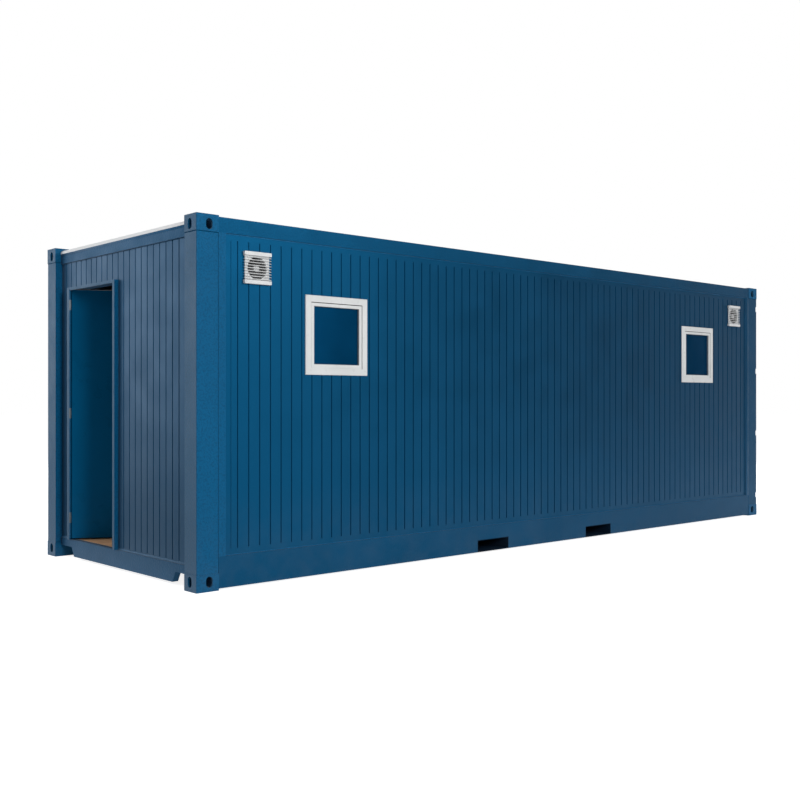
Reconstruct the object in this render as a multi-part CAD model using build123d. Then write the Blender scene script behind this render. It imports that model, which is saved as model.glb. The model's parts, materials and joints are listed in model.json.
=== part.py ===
"""Cabin built on a shipping container frame, with an entrance door at one end.

Millimetres, +Z up. X runs along the cabin from the door end (-X) to the far end (+X).
The window wall is at -Y. The origin is on the ground under the middle of the cabin.
"""

import os

from build123d import *

os.makedirs("parts", exist_ok=True)

# Overall frame
cabin_length = 7335.0
cabin_width = 2438.0
cabin_height = 2591.0
frame_setback = 3.0
cut_overrun = 20.0

# Corner castings
casting_length = 178.0
casting_width = 162.0
casting_height = 118.0
casting_slot_wall = 28.0
casting_post_wall = 12.0
casting_side_wall = 16.0
casting_edge_radius = 8.0
twistlock_slot_length = 124.0
twistlock_slot_width = 63.5
twistlock_inner_margin = 14.5
twistlock_from_side = 89.0
lashing_hole_height = 76.0
lashing_hole_width = 51.0
lashing_hole_level = 67.0

# Corner posts, folded from plate
post_plate = 5.0
post_corner_radius = 8.0
post_edge_radius = 8.0
post_notch_height = 56.0
post_notch_width = 60.0
post_notch_depth = 20.0
post_notch_first_level = 228.0
post_notch_last_drop = 237.5
post_notch_count = 4

# Side rails
side_rail_depth = 60.0
rail_plate = 5.0
base_side_rail_bottom = 13.0
base_side_rail_height = 221.0
roof_side_rail_drop = 10.0
roof_side_rail_height = 107.0

# End rails
end_rail_setback = 50.0
base_end_rail_thickness = 47.0
base_end_rail_height = 62.0
skirt_height = 76.0
skirt_end_margin = 207.0
skirt_end_slant = 45.0
roof_end_rail_drop = 63.0
roof_end_rail_height = 70.0

# Floor
floor_pocket_gap = 16.0
floor_thickness = 28.0
floor_beam_height = 100.0
floor_beam_flange = 50.0
floor_beam_plate = 5.0
floor_beam_inner_offset = 250.0
floor_beam_pocket_gap = 322.0
floor_beam_end_gap = 470.5
floor_beam_outer_count = 4

# Fork pockets
fork_pocket_spacing = 1467.0
fork_pocket_width = 377.0
fork_pocket_height = 91.0
fork_pocket_plate = 6.0

# Walls
lining_inset = 105.0
panel_setback = 8.0
sheet_thickness = 10.0
stile_width = 55.0
groove_width = 11.0
groove_floor_width = 8.0
groove_depth = 6.0
groove_pitch = 92.6
groove_end_margin = 45.0
long_wall_groove_margin = 97.0
sheet_border_width = 50.0
sheet_border_step = 3.0
end_wall_groove_margin = 40.0
end_wall_groove_foot = 18.0
end_wall_setback = 62.0

# Roof and ceiling
roof_sheet_thickness = 6.0
roof_rib_height = 24.0
roof_rib_pitch = 209.0
roof_rib_slope = 18.0
roof_rib_crest = 91.0
ceiling_depth = 128.0

# Entrance door
door_post_gap = 167.0
door_clear_width = 773.0
door_ceiling_gap = 180.0
door_latch_face = 34.0
door_hinge_face = 42.0
door_head_face = 24.0
door_frame_projection = 35.0
door_flange_thickness = 3.0
door_latch_return = 16.0
door_hinge_return = 4.0
door_head_return = 8.0
door_stop_gap = 5.0
door_latch_lap = 11.0
door_head_lap = 10.0
door_hinge_gap = 11.0
door_floor_gap = 12.0
door_leaf_thickness = 38.0
door_leaf_edge_break = 2.0
door_rest_angle = 60.0

# Door hinges
hinge_foot_margin = 171.0
hinge_middle_spacing = 863.0
hinge_head_margin = 130.0
hinge_height = 84.0
hinge_plate_thickness = 2.5
hinge_plate_depth = 38.0
hinge_knuckle_radius = 9.0
hinge_knuckle_offset = 1.0
hinge_knuckle_clearance = 1.5
hinge_knuckle_gap = 0.4

# Door handle
handle_level = 1050.0
handle_from_edge = 60.0
handle_plate_width = 42.0
handle_plate_height = 220.0
handle_plate_thickness = 6.0
handle_neck_radius = 7.0
handle_neck_length = 20.0
handle_lever_length = 125.0
handle_lever_radius = 7.0

# Windows
window_size = 592.0
window_from_end = 1217.0
window_middle_drop = 676.0
window_lap = 15.0
window_flange_thickness = 10.0
window_frame_face = 50.0
window_stop_lip = 20.0
window_edge_break = 3.0
sash_gap = 3.0
sash_face = 26.0
sash_depth = 50.0
sash_setback = 4.0
sash_lip_thickness = 20.0
glazing_rebate = 12.0
glazing_gap = 0.5
pane_thickness = 20.0

# Ventilators
vent_size = 228.0
vent_from_end = 495.0
vent_middle_drop = 223.0
vent_plate_thickness = 6.0
vent_band_height = 28.0
vent_band_depth = 18.0
vent_corner_radius = 12.0
vent_duct_radius = 80.0
vent_duct_plate = 3.0
vent_duct_gap = 0.5
vent_louvre_count = 9
vent_louvre_margin = 1.0
vent_plate_inset = 11.0
vent_louvre_thickness = 5.0
vent_motor_radius = 25.0
vent_motor_length = 50.0
vent_motor_arm = 8.0
vent_motor_arm_count = 3

# Planes worked out from the driving dimensions
half_length = cabin_length / 2
half_width = cabin_width / 2
post_inner_x = half_length - casting_length
post_inner_y = half_width - casting_width
frame_face_y = half_width - frame_setback
rail_inner_y = frame_face_y - side_rail_depth
twistlock_from_end = casting_length - twistlock_inner_margin - twistlock_slot_length / 2
post_notch_last_level = cabin_height - post_notch_last_drop
post_notch_pitch = (post_notch_last_level - post_notch_first_level) / (post_notch_count - 1)
fork_pocket_top = base_side_rail_bottom + fork_pocket_height + 2 * fork_pocket_plate
fork_pocket_outer_width = fork_pocket_width + 2 * fork_pocket_plate
floor_underside = fork_pocket_top + floor_pocket_gap
floor_level = floor_underside + floor_thickness
base_side_rail_top = base_side_rail_bottom + base_side_rail_height
roof_side_rail_top = cabin_height - roof_side_rail_drop
roof_side_rail_bottom = roof_side_rail_top - roof_side_rail_height
end_rail_face_x = half_length - end_rail_setback
base_end_rail_inner_x = end_rail_face_x - base_end_rail_thickness
base_end_rail_bottom = floor_level - base_end_rail_height
roof_end_rail_top = cabin_height - roof_end_rail_drop
roof_end_rail_bottom = roof_end_rail_top - roof_end_rail_height
ceiling_level = roof_end_rail_top - ceiling_depth
room_height = ceiling_level - floor_level
lining_y = half_width - lining_inset
sheet_face_y = frame_face_y - panel_setback
sheet_back_y = sheet_face_y - sheet_thickness
sheet_end_x = post_inner_x - stile_width
end_sheet_face_x = half_length - end_wall_setback
end_sheet_back_x = end_sheet_face_x - sheet_thickness
floor_beam_outer_start = (fork_pocket_spacing + fork_pocket_outer_width) / 2 + floor_beam_pocket_gap
floor_beam_outer_end = base_end_rail_inner_x - floor_beam_end_gap - floor_beam_flange
floor_beam_pitch = (floor_beam_outer_end - floor_beam_outer_start) / (floor_beam_outer_count - 1)

# Door planes
door_hole_hinge_side = post_inner_y - door_post_gap
door_hinge_side = door_hole_hinge_side - door_hinge_face
door_latch_side = door_hinge_side - door_clear_width
door_hole_latch_side = door_latch_side - door_latch_face
door_clear_height = room_height - door_ceiling_gap
door_clear_top = floor_level + door_clear_height
door_hole_top = door_clear_top + door_head_face
door_frame_front_x = -end_sheet_face_x - door_frame_projection
door_flange_back_x = door_frame_front_x + door_flange_thickness
door_inner_x = -post_inner_x
door_leaf_front_x = door_flange_back_x + door_stop_gap
door_leaf_back_x = door_leaf_front_x + door_leaf_thickness
hinge_x = door_flange_back_x + hinge_knuckle_offset
hinge_y = door_hinge_side - door_hinge_gap
hinge_axis = Axis((hinge_x, hinge_y, 0), (0, 0, 1))
door_leaf_hinge_edge = hinge_y - door_hinge_gap
door_leaf_latch_edge = door_latch_side - door_latch_lap
door_leaf_bottom = floor_level + door_floor_gap
door_leaf_top = door_clear_top + door_head_lap
hinge_foot_level = door_leaf_bottom + hinge_foot_margin
hinge_middle_level = hinge_foot_level + hinge_middle_spacing
hinge_levels = (hinge_foot_level, hinge_middle_level, door_leaf_top - hinge_head_margin)

# Window and ventilator planes
window_middle_level = roof_side_rail_bottom - window_middle_drop
vent_middle_level = roof_side_rail_bottom - vent_middle_drop
window_hole = window_size - 2 * window_lap
sash_opening = window_size - 2 * window_frame_face
sash_outer = sash_opening - 2 * sash_gap
sash_inner = sash_outer - 2 * sash_face
sash_face_y = sheet_face_y + window_flange_thickness - sash_setback
sash_back_y = sash_face_y - sash_depth
pane_size = sash_inner + 2 * glazing_rebate - 2 * glazing_gap
pane_face_y = sash_face_y - sash_lip_thickness
vent_front_y = sheet_face_y + vent_plate_thickness
vent_hole_radius = vent_duct_radius + vent_duct_plate + vent_duct_gap


def block(x_limits, y_limits, z_limits):
    """Return a box between two limits on each axis, given in either order."""
    low = [min(limits) for limits in (x_limits, y_limits, z_limits)]
    high = [max(limits) for limits in (x_limits, y_limits, z_limits)]
    middle = [(start + end) / 2 for start, end in zip(low, high)]
    sizes = [end - start for start, end in zip(low, high)]
    return Pos(*middle) * Box(*sizes)


def square_prism(size, middle_x, middle_z, y_limits):
    """Return a square block whose axis runs through a long wall."""
    half = size / 2
    return block((middle_x - half, middle_x + half), y_limits, (middle_z - half, middle_z + half))


def round_prism(radius, middle_x, middle_z, y_limits):
    """Return a cylinder whose axis runs through a long wall."""
    length = max(y_limits) - min(y_limits)
    plane = Plane((middle_x, sum(y_limits) / 2, middle_z), x_dir=(1, 0, 0), z_dir=(0, -1, 0))
    return plane * Cylinder(radius, length)


def mirror_x(shape):
    """Return the shape carried to the other end of the cabin."""
    return mirror(shape, about=Plane.YZ)


def mirror_y(shape):
    """Return the shape carried to the other long side."""
    return mirror(shape, about=Plane.XZ)


def four_corners(shape):
    """Return the shape at all four corners of the plan."""
    pair = [shape, mirror_x(shape)]
    return pair + [mirror_y(item) for item in pair]


def save(node, *shapes):
    """Write the solids of one node to its own file."""
    solids = [solid for shape in shapes for solid in shape.solids()]
    content = solids[0] if len(solids) == 1 else Compound(solids)
    export_step(content, f"parts/{node}.step")


# Corner castings
def corner_casting():
    """Return the bottom casting of the door end's front corner, hollow with three apertures."""
    end_face = -half_length
    side_face = -half_width
    body = block(
        (end_face, end_face + casting_length),
        (side_face, side_face + casting_width),
        (0, casting_height),
    )
    upright_edges = body.edges().filter_by(Axis.Z)
    outer_edge = upright_edges.sort_by(lambda edge: edge.center().X + edge.center().Y)[0]
    body = fillet(outer_edge, casting_edge_radius)
    cavity = block(
        (end_face + casting_side_wall, end_face + casting_length - casting_side_wall),
        (side_face + casting_side_wall, side_face + casting_width - casting_side_wall),
        (casting_slot_wall, casting_height - casting_post_wall),
    )
    slot_x = end_face + twistlock_from_end
    slot_y = side_face + twistlock_from_side
    slot_outline = Pos(slot_x, slot_y, 0) * SlotOverall(twistlock_slot_length, twistlock_slot_width)
    slot = extrude(slot_outline, amount=casting_slot_wall + casting_side_wall, both=True)
    lashing = SlotOverall(lashing_hole_height, lashing_hole_width)
    side_plane = Plane((slot_x, side_face, lashing_hole_level), x_dir=(0, 0, 1), z_dir=(0, -1, 0))
    end_plane = Plane((end_face, slot_y, lashing_hole_level), x_dir=(0, 0, 1), z_dir=(-1, 0, 0))
    hole_depth = 2 * casting_side_wall
    side_hole = extrude(side_plane * lashing, amount=hole_depth, both=True)
    end_hole = extrude(end_plane * lashing, amount=hole_depth, both=True)
    return body - cavity - slot - side_hole - end_hole


bottom_castings = four_corners(corner_casting())
top_castings = [mirror(item, about=Plane.XY.offset(cabin_height / 2)) for item in bottom_castings]
save("corner_castings_bottom", *bottom_castings)
save("corner_castings_top", *top_castings)


# Corner posts
def post_notches(growth):
    """Return the blocks that sink the door-keeper notches into the end edge of a far post."""
    end_face = half_length - frame_setback
    side_face = -half_width + frame_setback
    notches = []
    for index in range(post_notch_count):
        level = post_notch_first_level + index * post_notch_pitch
        half_notch = post_notch_height / 2 + growth
        notches.append(
            block(
                (end_face - post_notch_depth - growth, end_face + cut_overrun),
                (side_face - cut_overrun, side_face + post_notch_width + growth),
                (level - half_notch, level + half_notch),
            )
        )
    return notches


def corner_post(notched):
    """Return the far end's front post as a hollow folded section."""
    levels = (casting_height, cabin_height - casting_height)
    end_face = half_length - frame_setback
    side_face = -half_width + frame_setback
    body = block((post_inner_x, end_face), (side_face, -post_inner_y), levels)
    upright_edges = body.edges().filter_by(Axis.Z)
    ordered = upright_edges.sort_by(lambda edge: edge.center().Y - edge.center().X)
    body = fillet(ordered[0], post_corner_radius)
    upright_edges = body.edges().filter_by(Axis.Z)
    ordered = upright_edges.sort_by(lambda edge: edge.center().Y + edge.center().X)
    body = fillet(ordered[0], post_edge_radius)
    void = block(
        (post_inner_x + post_plate, end_face - post_plate),
        (side_face + post_plate, -post_inner_y - post_plate),
        levels,
    )
    void_edges = void.edges().filter_by(Axis.Z)
    void_corner = void_edges.sort_by(lambda edge: edge.center().Y - edge.center().X)[0]
    void = fillet(void_corner, post_corner_radius - post_plate)
    if notched:
        body = body - post_notches(0)
        void = void - post_notches(post_plate)
    return body - void


far_post = corner_post(notched=True)
door_post = mirror_x(corner_post(notched=False))
save("corner_post_far_front", far_post)
save("corner_post_far_back", mirror_y(far_post))
save("corner_post_door_front", door_post)
save("corner_post_door_back", mirror_y(door_post))


# Side rails
def box_rail(x_limits, y_limits, z_limits, hollow_axis):
    """Return a closed rail section with open ends along the given axis."""
    limits = [sorted(x_limits), sorted(y_limits), sorted(z_limits)]
    inner = [
        pair if axis == hollow_axis else [pair[0] + rail_plate, pair[1] - rail_plate]
        for axis, pair in zip("XYZ", limits)
    ]
    return block(*limits) - block(*inner)


fork_pocket_places = (-fork_pocket_spacing / 2, fork_pocket_spacing / 2)


def base_side_rail():
    """Return the front base rail, notched where the fork pockets pass through it."""
    rail = box_rail(
        (-post_inner_x, post_inner_x),
        (-frame_face_y, -rail_inner_y),
        (base_side_rail_bottom, base_side_rail_top),
        "X",
    )
    half_pocket = fork_pocket_outer_width / 2
    notches = [
        block(
            (place - half_pocket, place + half_pocket),
            (-frame_face_y - cut_overrun, -rail_inner_y + cut_overrun),
            (base_side_rail_bottom - cut_overrun, fork_pocket_top),
        )
        for place in fork_pocket_places
    ]
    return rail - notches


front_base_rail = base_side_rail()
save("base_rail_front", front_base_rail)
save("base_rail_back", mirror_y(front_base_rail))

front_roof_rail = box_rail(
    (-post_inner_x, post_inner_x),
    (-frame_face_y, -rail_inner_y),
    (roof_side_rail_bottom, roof_side_rail_top),
    "X",
)
save("roof_rail_front", front_roof_rail)
save("roof_rail_back", mirror_y(front_roof_rail))


# End rails
def base_end_rail():
    """Return the door end's base rail with its deeper skirt between the posts."""
    skirt_top = post_inner_y - skirt_end_margin
    skirt_foot = skirt_top - skirt_end_slant
    skirt_bottom = base_end_rail_bottom - skirt_height
    right_half = [
        (skirt_foot, skirt_bottom),
        (skirt_top, base_end_rail_bottom),
        (post_inner_y, base_end_rail_bottom),
        (post_inner_y, floor_level),
    ]
    left_half = [(-across, level) for across, level in reversed(right_half)]
    plane = Plane((-end_rail_face_x, 0, 0), x_dir=(0, 1, 0), z_dir=(1, 0, 0))
    outline = plane * make_face(Polyline(*right_half, *left_half, close=True))
    return extrude(outline, amount=base_end_rail_thickness)


door_base_rail = base_end_rail()
save("base_rail_door_end", door_base_rail)
save("base_rail_far_end", mirror_x(door_base_rail))

door_roof_rail = box_rail(
    (-end_rail_face_x, -post_inner_x),
    (-post_inner_y, post_inner_y),
    (roof_end_rail_bottom, roof_end_rail_top),
    "Y",
)
save("roof_rail_door_end", door_roof_rail)
save("roof_rail_far_end", mirror_x(door_roof_rail))


# Fork pockets
def fork_pocket(place):
    """Return one fork pocket, a tube that runs from side to side under the floor."""
    half_outer = fork_pocket_outer_width / 2
    half_inner = fork_pocket_width / 2
    tube = block(
        (place - half_outer, place + half_outer),
        (-frame_face_y, frame_face_y),
        (base_side_rail_bottom, fork_pocket_top),
    )
    passage = block(
        (place - half_inner, place + half_inner),
        (-frame_face_y, frame_face_y),
        (base_side_rail_bottom + fork_pocket_plate, fork_pocket_top - fork_pocket_plate),
    )
    return tube - passage


save("fork_pockets", *[fork_pocket(place) for place in fork_pocket_places])


# Floor
def floor_beam(place):
    """Return one channel-section floor beam between the base rails."""
    beam_bottom = floor_underside - floor_beam_height
    section = block(
        (place, place + floor_beam_flange),
        (-rail_inner_y, rail_inner_y),
        (beam_bottom, floor_underside),
    )
    hollow = block(
        (place + floor_beam_plate, place + floor_beam_flange),
        (-rail_inner_y, rail_inner_y),
        (beam_bottom + floor_beam_plate, floor_underside - floor_beam_plate),
    )
    return section - hollow


outer_beam_places = [
    floor_beam_outer_start + index * floor_beam_pitch for index in range(floor_beam_outer_count)
]
beam_places = [floor_beam_inner_offset] + outer_beam_places
far_beams = [floor_beam(place) for place in beam_places]
save("floor_cross_members", *far_beams, *[mirror_x(beam) for beam in far_beams])


def corner_clearances(z_limits):
    """Return blocks over the four corner posts, to cut a deck or sheet around them."""
    reach_x = half_length + cut_overrun
    reach_y = half_width + cut_overrun
    return four_corners(block((-reach_x, -post_inner_x), (-reach_y, -post_inner_y), z_limits))


floor_deck = block(
    (-base_end_rail_inner_x, base_end_rail_inner_x),
    (-rail_inner_y, rail_inner_y),
    (floor_underside, floor_level),
) - corner_clearances((floor_underside, floor_level))
save("floor_deck", floor_deck)


# Walls
def groove_places(sheet_length, side_margin):
    """Return the places of evenly spaced grooves, centred on the sheet."""
    gaps = int((sheet_length - 2 * side_margin) / groove_pitch)
    return [(index - gaps / 2) * groove_pitch for index in range(gaps + 1)]


def groove_cutters(places, levels):
    """Return one tapered groove cutter per place, sunk into a sheet whose face is at y = 0."""
    half_mouth = groove_width / 2
    half_floor = groove_floor_width / 2
    mouth_slope = (half_mouth - half_floor) / groove_depth
    wide = half_mouth + mouth_slope * groove_depth
    section = Polyline(
        (-wide, -groove_depth),
        (wide, -groove_depth),
        (half_floor, groove_depth),
        (-half_floor, groove_depth),
        close=True,
    )
    cutter = Pos(0, 0, levels[0]) * extrude(make_face(section), amount=levels[1] - levels[0])
    return [Pos(place, 0, 0) * cutter for place in places]


def grooved_sheet(sheet_length, side_margin, levels, groove_levels):
    """Return a wall sheet along X, with its grooved face at y = 0 looking towards -Y."""
    half = sheet_length / 2
    sheet = block((-half, half), (0, sheet_thickness), levels)
    return sheet - groove_cutters(groove_places(sheet_length, side_margin), groove_levels)


def sheet_border(sheet_length, levels, field_levels):
    """Return the cutter that sets the flat border of a long sheet back from its grooved field."""
    half = sheet_length / 2
    depth = (-cut_overrun, sheet_border_step)
    half_field = half - sheet_border_width
    return block((-half, half), depth, levels) - block((-half_field, half_field), depth, field_levels)


long_wall_levels = (base_side_rail_top, roof_side_rail_bottom)
long_groove_levels = (base_side_rail_top + groove_end_margin, roof_side_rail_bottom - groove_end_margin)
end_wall_levels = (floor_level, roof_end_rail_bottom)
end_groove_levels = (floor_level + end_wall_groove_foot, roof_end_rail_bottom + cut_overrun)
plain_long_sheet = Pos(0, -sheet_face_y, 0) * (
    grooved_sheet(2 * sheet_end_x, long_wall_groove_margin, long_wall_levels, long_groove_levels)
    - sheet_border(2 * sheet_end_x, long_wall_levels, long_groove_levels)
)
plain_end_sheet = Pos(-end_sheet_face_x, 0, 0) * (
    Rot(0, 0, -90)
    * grooved_sheet(2 * post_inner_y, end_wall_groove_margin, end_wall_levels, end_groove_levels)
)


def long_wall_core():
    """Return the insulated core of the front wall, lined down to the floor and up to the roof."""
    outline = Polyline(
        (-lining_y, floor_level),
        (-lining_y, roof_end_rail_top),
        (-rail_inner_y, roof_end_rail_top),
        (-rail_inner_y, roof_side_rail_bottom),
        (-sheet_back_y, roof_side_rail_bottom),
        (-sheet_back_y, base_side_rail_top),
        (-rail_inner_y, base_side_rail_top),
        (-rail_inner_y, floor_level),
        close=True,
    )
    plane = Plane((-post_inner_x, 0, 0), x_dir=(0, 1, 0), z_dir=(1, 0, 0))
    return extrude(plane * make_face(outline), amount=2 * post_inner_x)


window_places = (window_from_end - half_length, half_length - window_from_end)
vent_places = (vent_from_end - half_length, half_length - vent_from_end)
through_wall = (-frame_face_y - cut_overrun, -lining_y + cut_overrun)
wall_holes = [
    square_prism(window_hole, place, window_middle_level, through_wall) for place in window_places
] + [round_prism(vent_hole_radius, place, vent_middle_level, through_wall) for place in vent_places]

plain_long_core = long_wall_core()
save("front_wall_sheet", plain_long_sheet - wall_holes)
save("front_wall_core", plain_long_core - wall_holes)
save("back_wall_sheet", mirror_y(plain_long_sheet))
save("back_wall_core", mirror_y(plain_long_core))

stile = block((-post_inner_x, -sheet_end_x), (-frame_face_y, -sheet_back_y), long_wall_levels)
save("wall_stiles", *four_corners(stile))

save("far_wall_sheet", mirror_x(plain_end_sheet))
save(
    "far_wall_core",
    block((post_inner_x, end_sheet_back_x), (-post_inner_y, post_inner_y), end_wall_levels),
)

door_hole = block(
    (-half_length, -post_inner_x),
    (door_hole_latch_side, door_hole_hinge_side),
    (floor_level - cut_overrun, door_hole_top),
)
save("door_wall_sheet", plain_end_sheet - door_hole)

door_core_x = (-end_sheet_back_x, -post_inner_x)
save(
    "door_wall_core_latch_side",
    block(door_core_x, (-post_inner_y, door_hole_latch_side), end_wall_levels),
)
save(
    "door_wall_core_hinge_side",
    block(door_core_x, (door_hole_hinge_side, post_inner_y), end_wall_levels),
)
save(
    "door_wall_core_over_door",
    block(
        door_core_x,
        (door_hole_latch_side, door_hole_hinge_side),
        (door_hole_top, roof_end_rail_bottom),
    ),
)


# Roof and ceiling
roof_crest_level = roof_end_rail_top + roof_rib_height


def roof_profile():
    """Return the lower line of the ribbed roof sheet, from post to post."""
    pairs = int((2 * post_inner_x - roof_rib_crest) / roof_rib_pitch)
    start = -pairs * roof_rib_pitch / 2 - roof_rib_crest / 2
    points = [(-post_inner_x, roof_crest_level)]
    for index in range(pairs):
        crest_end = start + index * roof_rib_pitch + roof_rib_crest
        next_crest = start + (index + 1) * roof_rib_pitch
        points += [
            (crest_end, roof_crest_level),
            (crest_end + roof_rib_slope, roof_end_rail_top),
            (next_crest - roof_rib_slope, roof_end_rail_top),
            (next_crest, roof_crest_level),
        ]
    points.append((post_inner_x, roof_crest_level))
    return points


def roof_sheet():
    """Return the ribbed roof sheet between the posts."""
    lower = roof_profile()
    upper = [(along, level + roof_sheet_thickness) for along, level in lower]
    plane = Plane((0, rail_inner_y, 0), x_dir=(1, 0, 0), z_dir=(0, -1, 0))
    outline = plane * make_face(Polyline(*lower, *reversed(upper), close=True))
    return extrude(outline, amount=2 * rail_inner_y)


def roof_end_cap():
    """Return the far end's roof edge, turned down onto the end rail between the castings."""
    across = (-post_inner_y, post_inner_y)
    cap_top = roof_crest_level + roof_sheet_thickness
    cap = block((post_inner_x, end_rail_face_x), across, (roof_end_rail_top, cap_top))
    hollow = block(
        (post_inner_x, end_rail_face_x - roof_sheet_thickness),
        across,
        (roof_end_rail_top, roof_crest_level),
    )
    return cap - hollow


far_roof_cap = roof_end_cap()
save("roof_sheet", roof_sheet())
save("roof_end_caps", far_roof_cap, mirror_x(far_roof_cap))
save(
    "ceiling_panel",
    block((-post_inner_x, post_inner_x), (-lining_y, lining_y), (ceiling_level, roof_end_rail_top)),
)


# Entrance door, drawn shut and then turned to its rest angle
def portal(latch_side, hinge_side, top, x_limits):
    """Return the block that fills a doorway of the given size."""
    return block(x_limits, (latch_side, hinge_side), (floor_level, top))


def door_frame():
    """Return the folded steel door frame, whose front flange stops the leaf."""
    body = portal(
        door_hole_latch_side, door_hole_hinge_side, door_hole_top, (door_frame_front_x, door_inner_x)
    )
    pocket = portal(
        door_hole_latch_side + door_latch_return,
        door_hole_hinge_side - door_hinge_return,
        door_hole_top - door_head_return,
        (door_flange_back_x, door_inner_x),
    )
    passage = portal(
        door_latch_side, door_hinge_side, door_clear_top, (door_frame_front_x, door_flange_back_x)
    )
    return body - pocket - passage


def knuckle(level, length):
    """Return one length of hinge knuckle, starting at the given level."""
    return Pos(hinge_x, hinge_y, level + length / 2) * Cylinder(hinge_knuckle_radius, length)


def knuckle_space(level, length):
    """Return the space kept free around one length of hinge knuckle."""
    reach = hinge_knuckle_radius + hinge_knuckle_clearance
    return block(
        (hinge_x - reach, hinge_x + reach),
        (hinge_y - reach, hinge_y + reach),
        (level, level + length),
    )


def frame_hinge(level):
    """Return the half of a hinge that is screwed behind the frame's flange."""
    third = hinge_height / 3
    foot = level - hinge_height / 2
    plate = block(
        (door_flange_back_x, door_flange_back_x + hinge_plate_thickness),
        (hinge_y, hinge_y + hinge_plate_depth),
        (foot, foot + hinge_height),
    )
    plate = plate - knuckle_space(foot + third, third)
    return plate + knuckle(foot, third) + knuckle(foot + 2 * third, third)


def leaf_hinge(level):
    """Return the half of a hinge that is screwed to the butt edge of the leaf."""
    third = hinge_height / 3
    foot = level - hinge_height / 2
    middle_foot = foot + third + hinge_knuckle_gap
    middle_length = third - 2 * hinge_knuckle_gap
    plate = block(
        (hinge_x, hinge_x + hinge_plate_depth),
        (door_leaf_hinge_edge, door_leaf_hinge_edge + hinge_plate_thickness),
        (foot, foot + hinge_height),
    )
    plate = plate - knuckle_space(foot, third + hinge_knuckle_gap)
    plate = plate - knuckle_space(middle_foot + middle_length, third + hinge_knuckle_gap)
    roll = block(
        (hinge_x, hinge_x + hinge_knuckle_radius),
        (door_leaf_hinge_edge, hinge_y),
        (middle_foot, middle_foot + middle_length),
    )
    return plate + roll + knuckle(middle_foot, middle_length)


def door_leaf():
    """Return the door leaf, shut, with its upright edges broken."""
    leaf = block(
        (door_leaf_front_x, door_leaf_back_x),
        (door_leaf_latch_edge, door_leaf_hinge_edge),
        (door_leaf_bottom, door_leaf_top),
    )
    return chamfer(leaf.edges().filter_by(Axis.Z), door_leaf_edge_break)


def handle_half(face_x, outward):
    """Return the backplate and lever on one face of the shut leaf."""
    middle_y = door_leaf_latch_edge + handle_from_edge
    half_width_y = handle_plate_width / 2
    half_height = handle_plate_height / 2
    plate = block(
        (face_x, face_x + outward * handle_plate_thickness),
        (middle_y - half_width_y, middle_y + half_width_y),
        (handle_level - half_height, handle_level + half_height),
    )
    reach = face_x + outward * (handle_plate_thickness + handle_neck_length)
    neck_plane = Plane((face_x, middle_y, handle_level), x_dir=(0, 1, 0), z_dir=(outward, 0, 0))
    neck_length = handle_plate_thickness + handle_neck_length
    neck = extrude(neck_plane * Circle(handle_neck_radius), amount=neck_length)
    lever_start = middle_y - handle_neck_radius
    lever_plane = Plane((reach, lever_start, handle_level), x_dir=(1, 0, 0), z_dir=(0, 1, 0))
    lever = extrude(lever_plane * Circle(handle_lever_radius), amount=handle_lever_length)
    return plate + neck + lever


def swing(shape):
    """Return a piece of the shut door turned to the rest angle."""
    return shape.rotate(hinge_axis, door_rest_angle)


save("door_frame", door_frame())
save("door_hinge_plates", *[frame_hinge(level) for level in hinge_levels])
save("door_leaf", swing(door_leaf()))
save("door_hinge_leaves", *[swing(leaf_hinge(level)) for level in hinge_levels])
save(
    "door_handle",
    swing(handle_half(door_leaf_front_x, -1)),
    swing(handle_half(door_leaf_back_x, 1)),
)


# Windows
def window_frame(place):
    """Return the window's outer frame, lapped over the sheet, with a stop behind the sash."""
    front_y = -sheet_face_y - window_flange_thickness
    flange = square_prism(window_size, place, window_middle_level, (front_y, -sheet_face_y))
    outer_edges = flange.faces().sort_by(Axis.Y)[0].edges()
    flange = chamfer(outer_edges, window_edge_break)
    liner = square_prism(window_hole, place, window_middle_level, (-sheet_face_y, -lining_y))
    sash_space = square_prism(sash_opening, place, window_middle_level, (front_y, -sash_back_y))
    behind = square_prism(
        sash_opening - 2 * window_stop_lip, place, window_middle_level, (-sash_back_y, -lining_y)
    )
    return flange + liner - sash_space - behind


def window_sash(place):
    """Return the sash that holds the pane, rebated from inside."""
    body = square_prism(sash_outer, place, window_middle_level, (-sash_face_y, -sash_back_y))
    front_edges = body.faces().sort_by(Axis.Y)[0].edges()
    body = chamfer(front_edges, window_edge_break)
    light = square_prism(sash_inner, place, window_middle_level, (-sash_face_y, -sash_back_y))
    rebate = square_prism(
        sash_inner + 2 * glazing_rebate, place, window_middle_level, (-pane_face_y, -sash_back_y)
    )
    return body - light - rebate


def window_pane(place):
    """Return the sealed glazing unit that sits in the sash."""
    pane_back_y = pane_face_y - pane_thickness
    return square_prism(pane_size, place, window_middle_level, (-pane_face_y, -pane_back_y))


for side, place in zip(("left", "right"), window_places):
    save(f"window_frame_{side}", window_frame(place))
    save(f"window_sash_{side}", window_sash(place))
    save(f"window_pane_{side}", window_pane(place))


# Ventilators
def ventilator_louvre(level):
    """Return one sloping louvre across a ventilator centred on x = 0."""
    outer_y = -vent_front_y - vent_band_depth
    outline = Polyline(
        (-vent_front_y, level),
        (-vent_front_y, level + vent_louvre_thickness),
        (outer_y, level - vent_louvre_thickness),
        (outer_y, level - 2 * vent_louvre_thickness),
        close=True,
    )
    half = vent_size / 2 - vent_louvre_margin
    plane = Plane((-half, 0, 0), x_dir=(0, 1, 0), z_dir=(1, 0, 0))
    return extrude(plane * make_face(outline), amount=2 * half)


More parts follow.
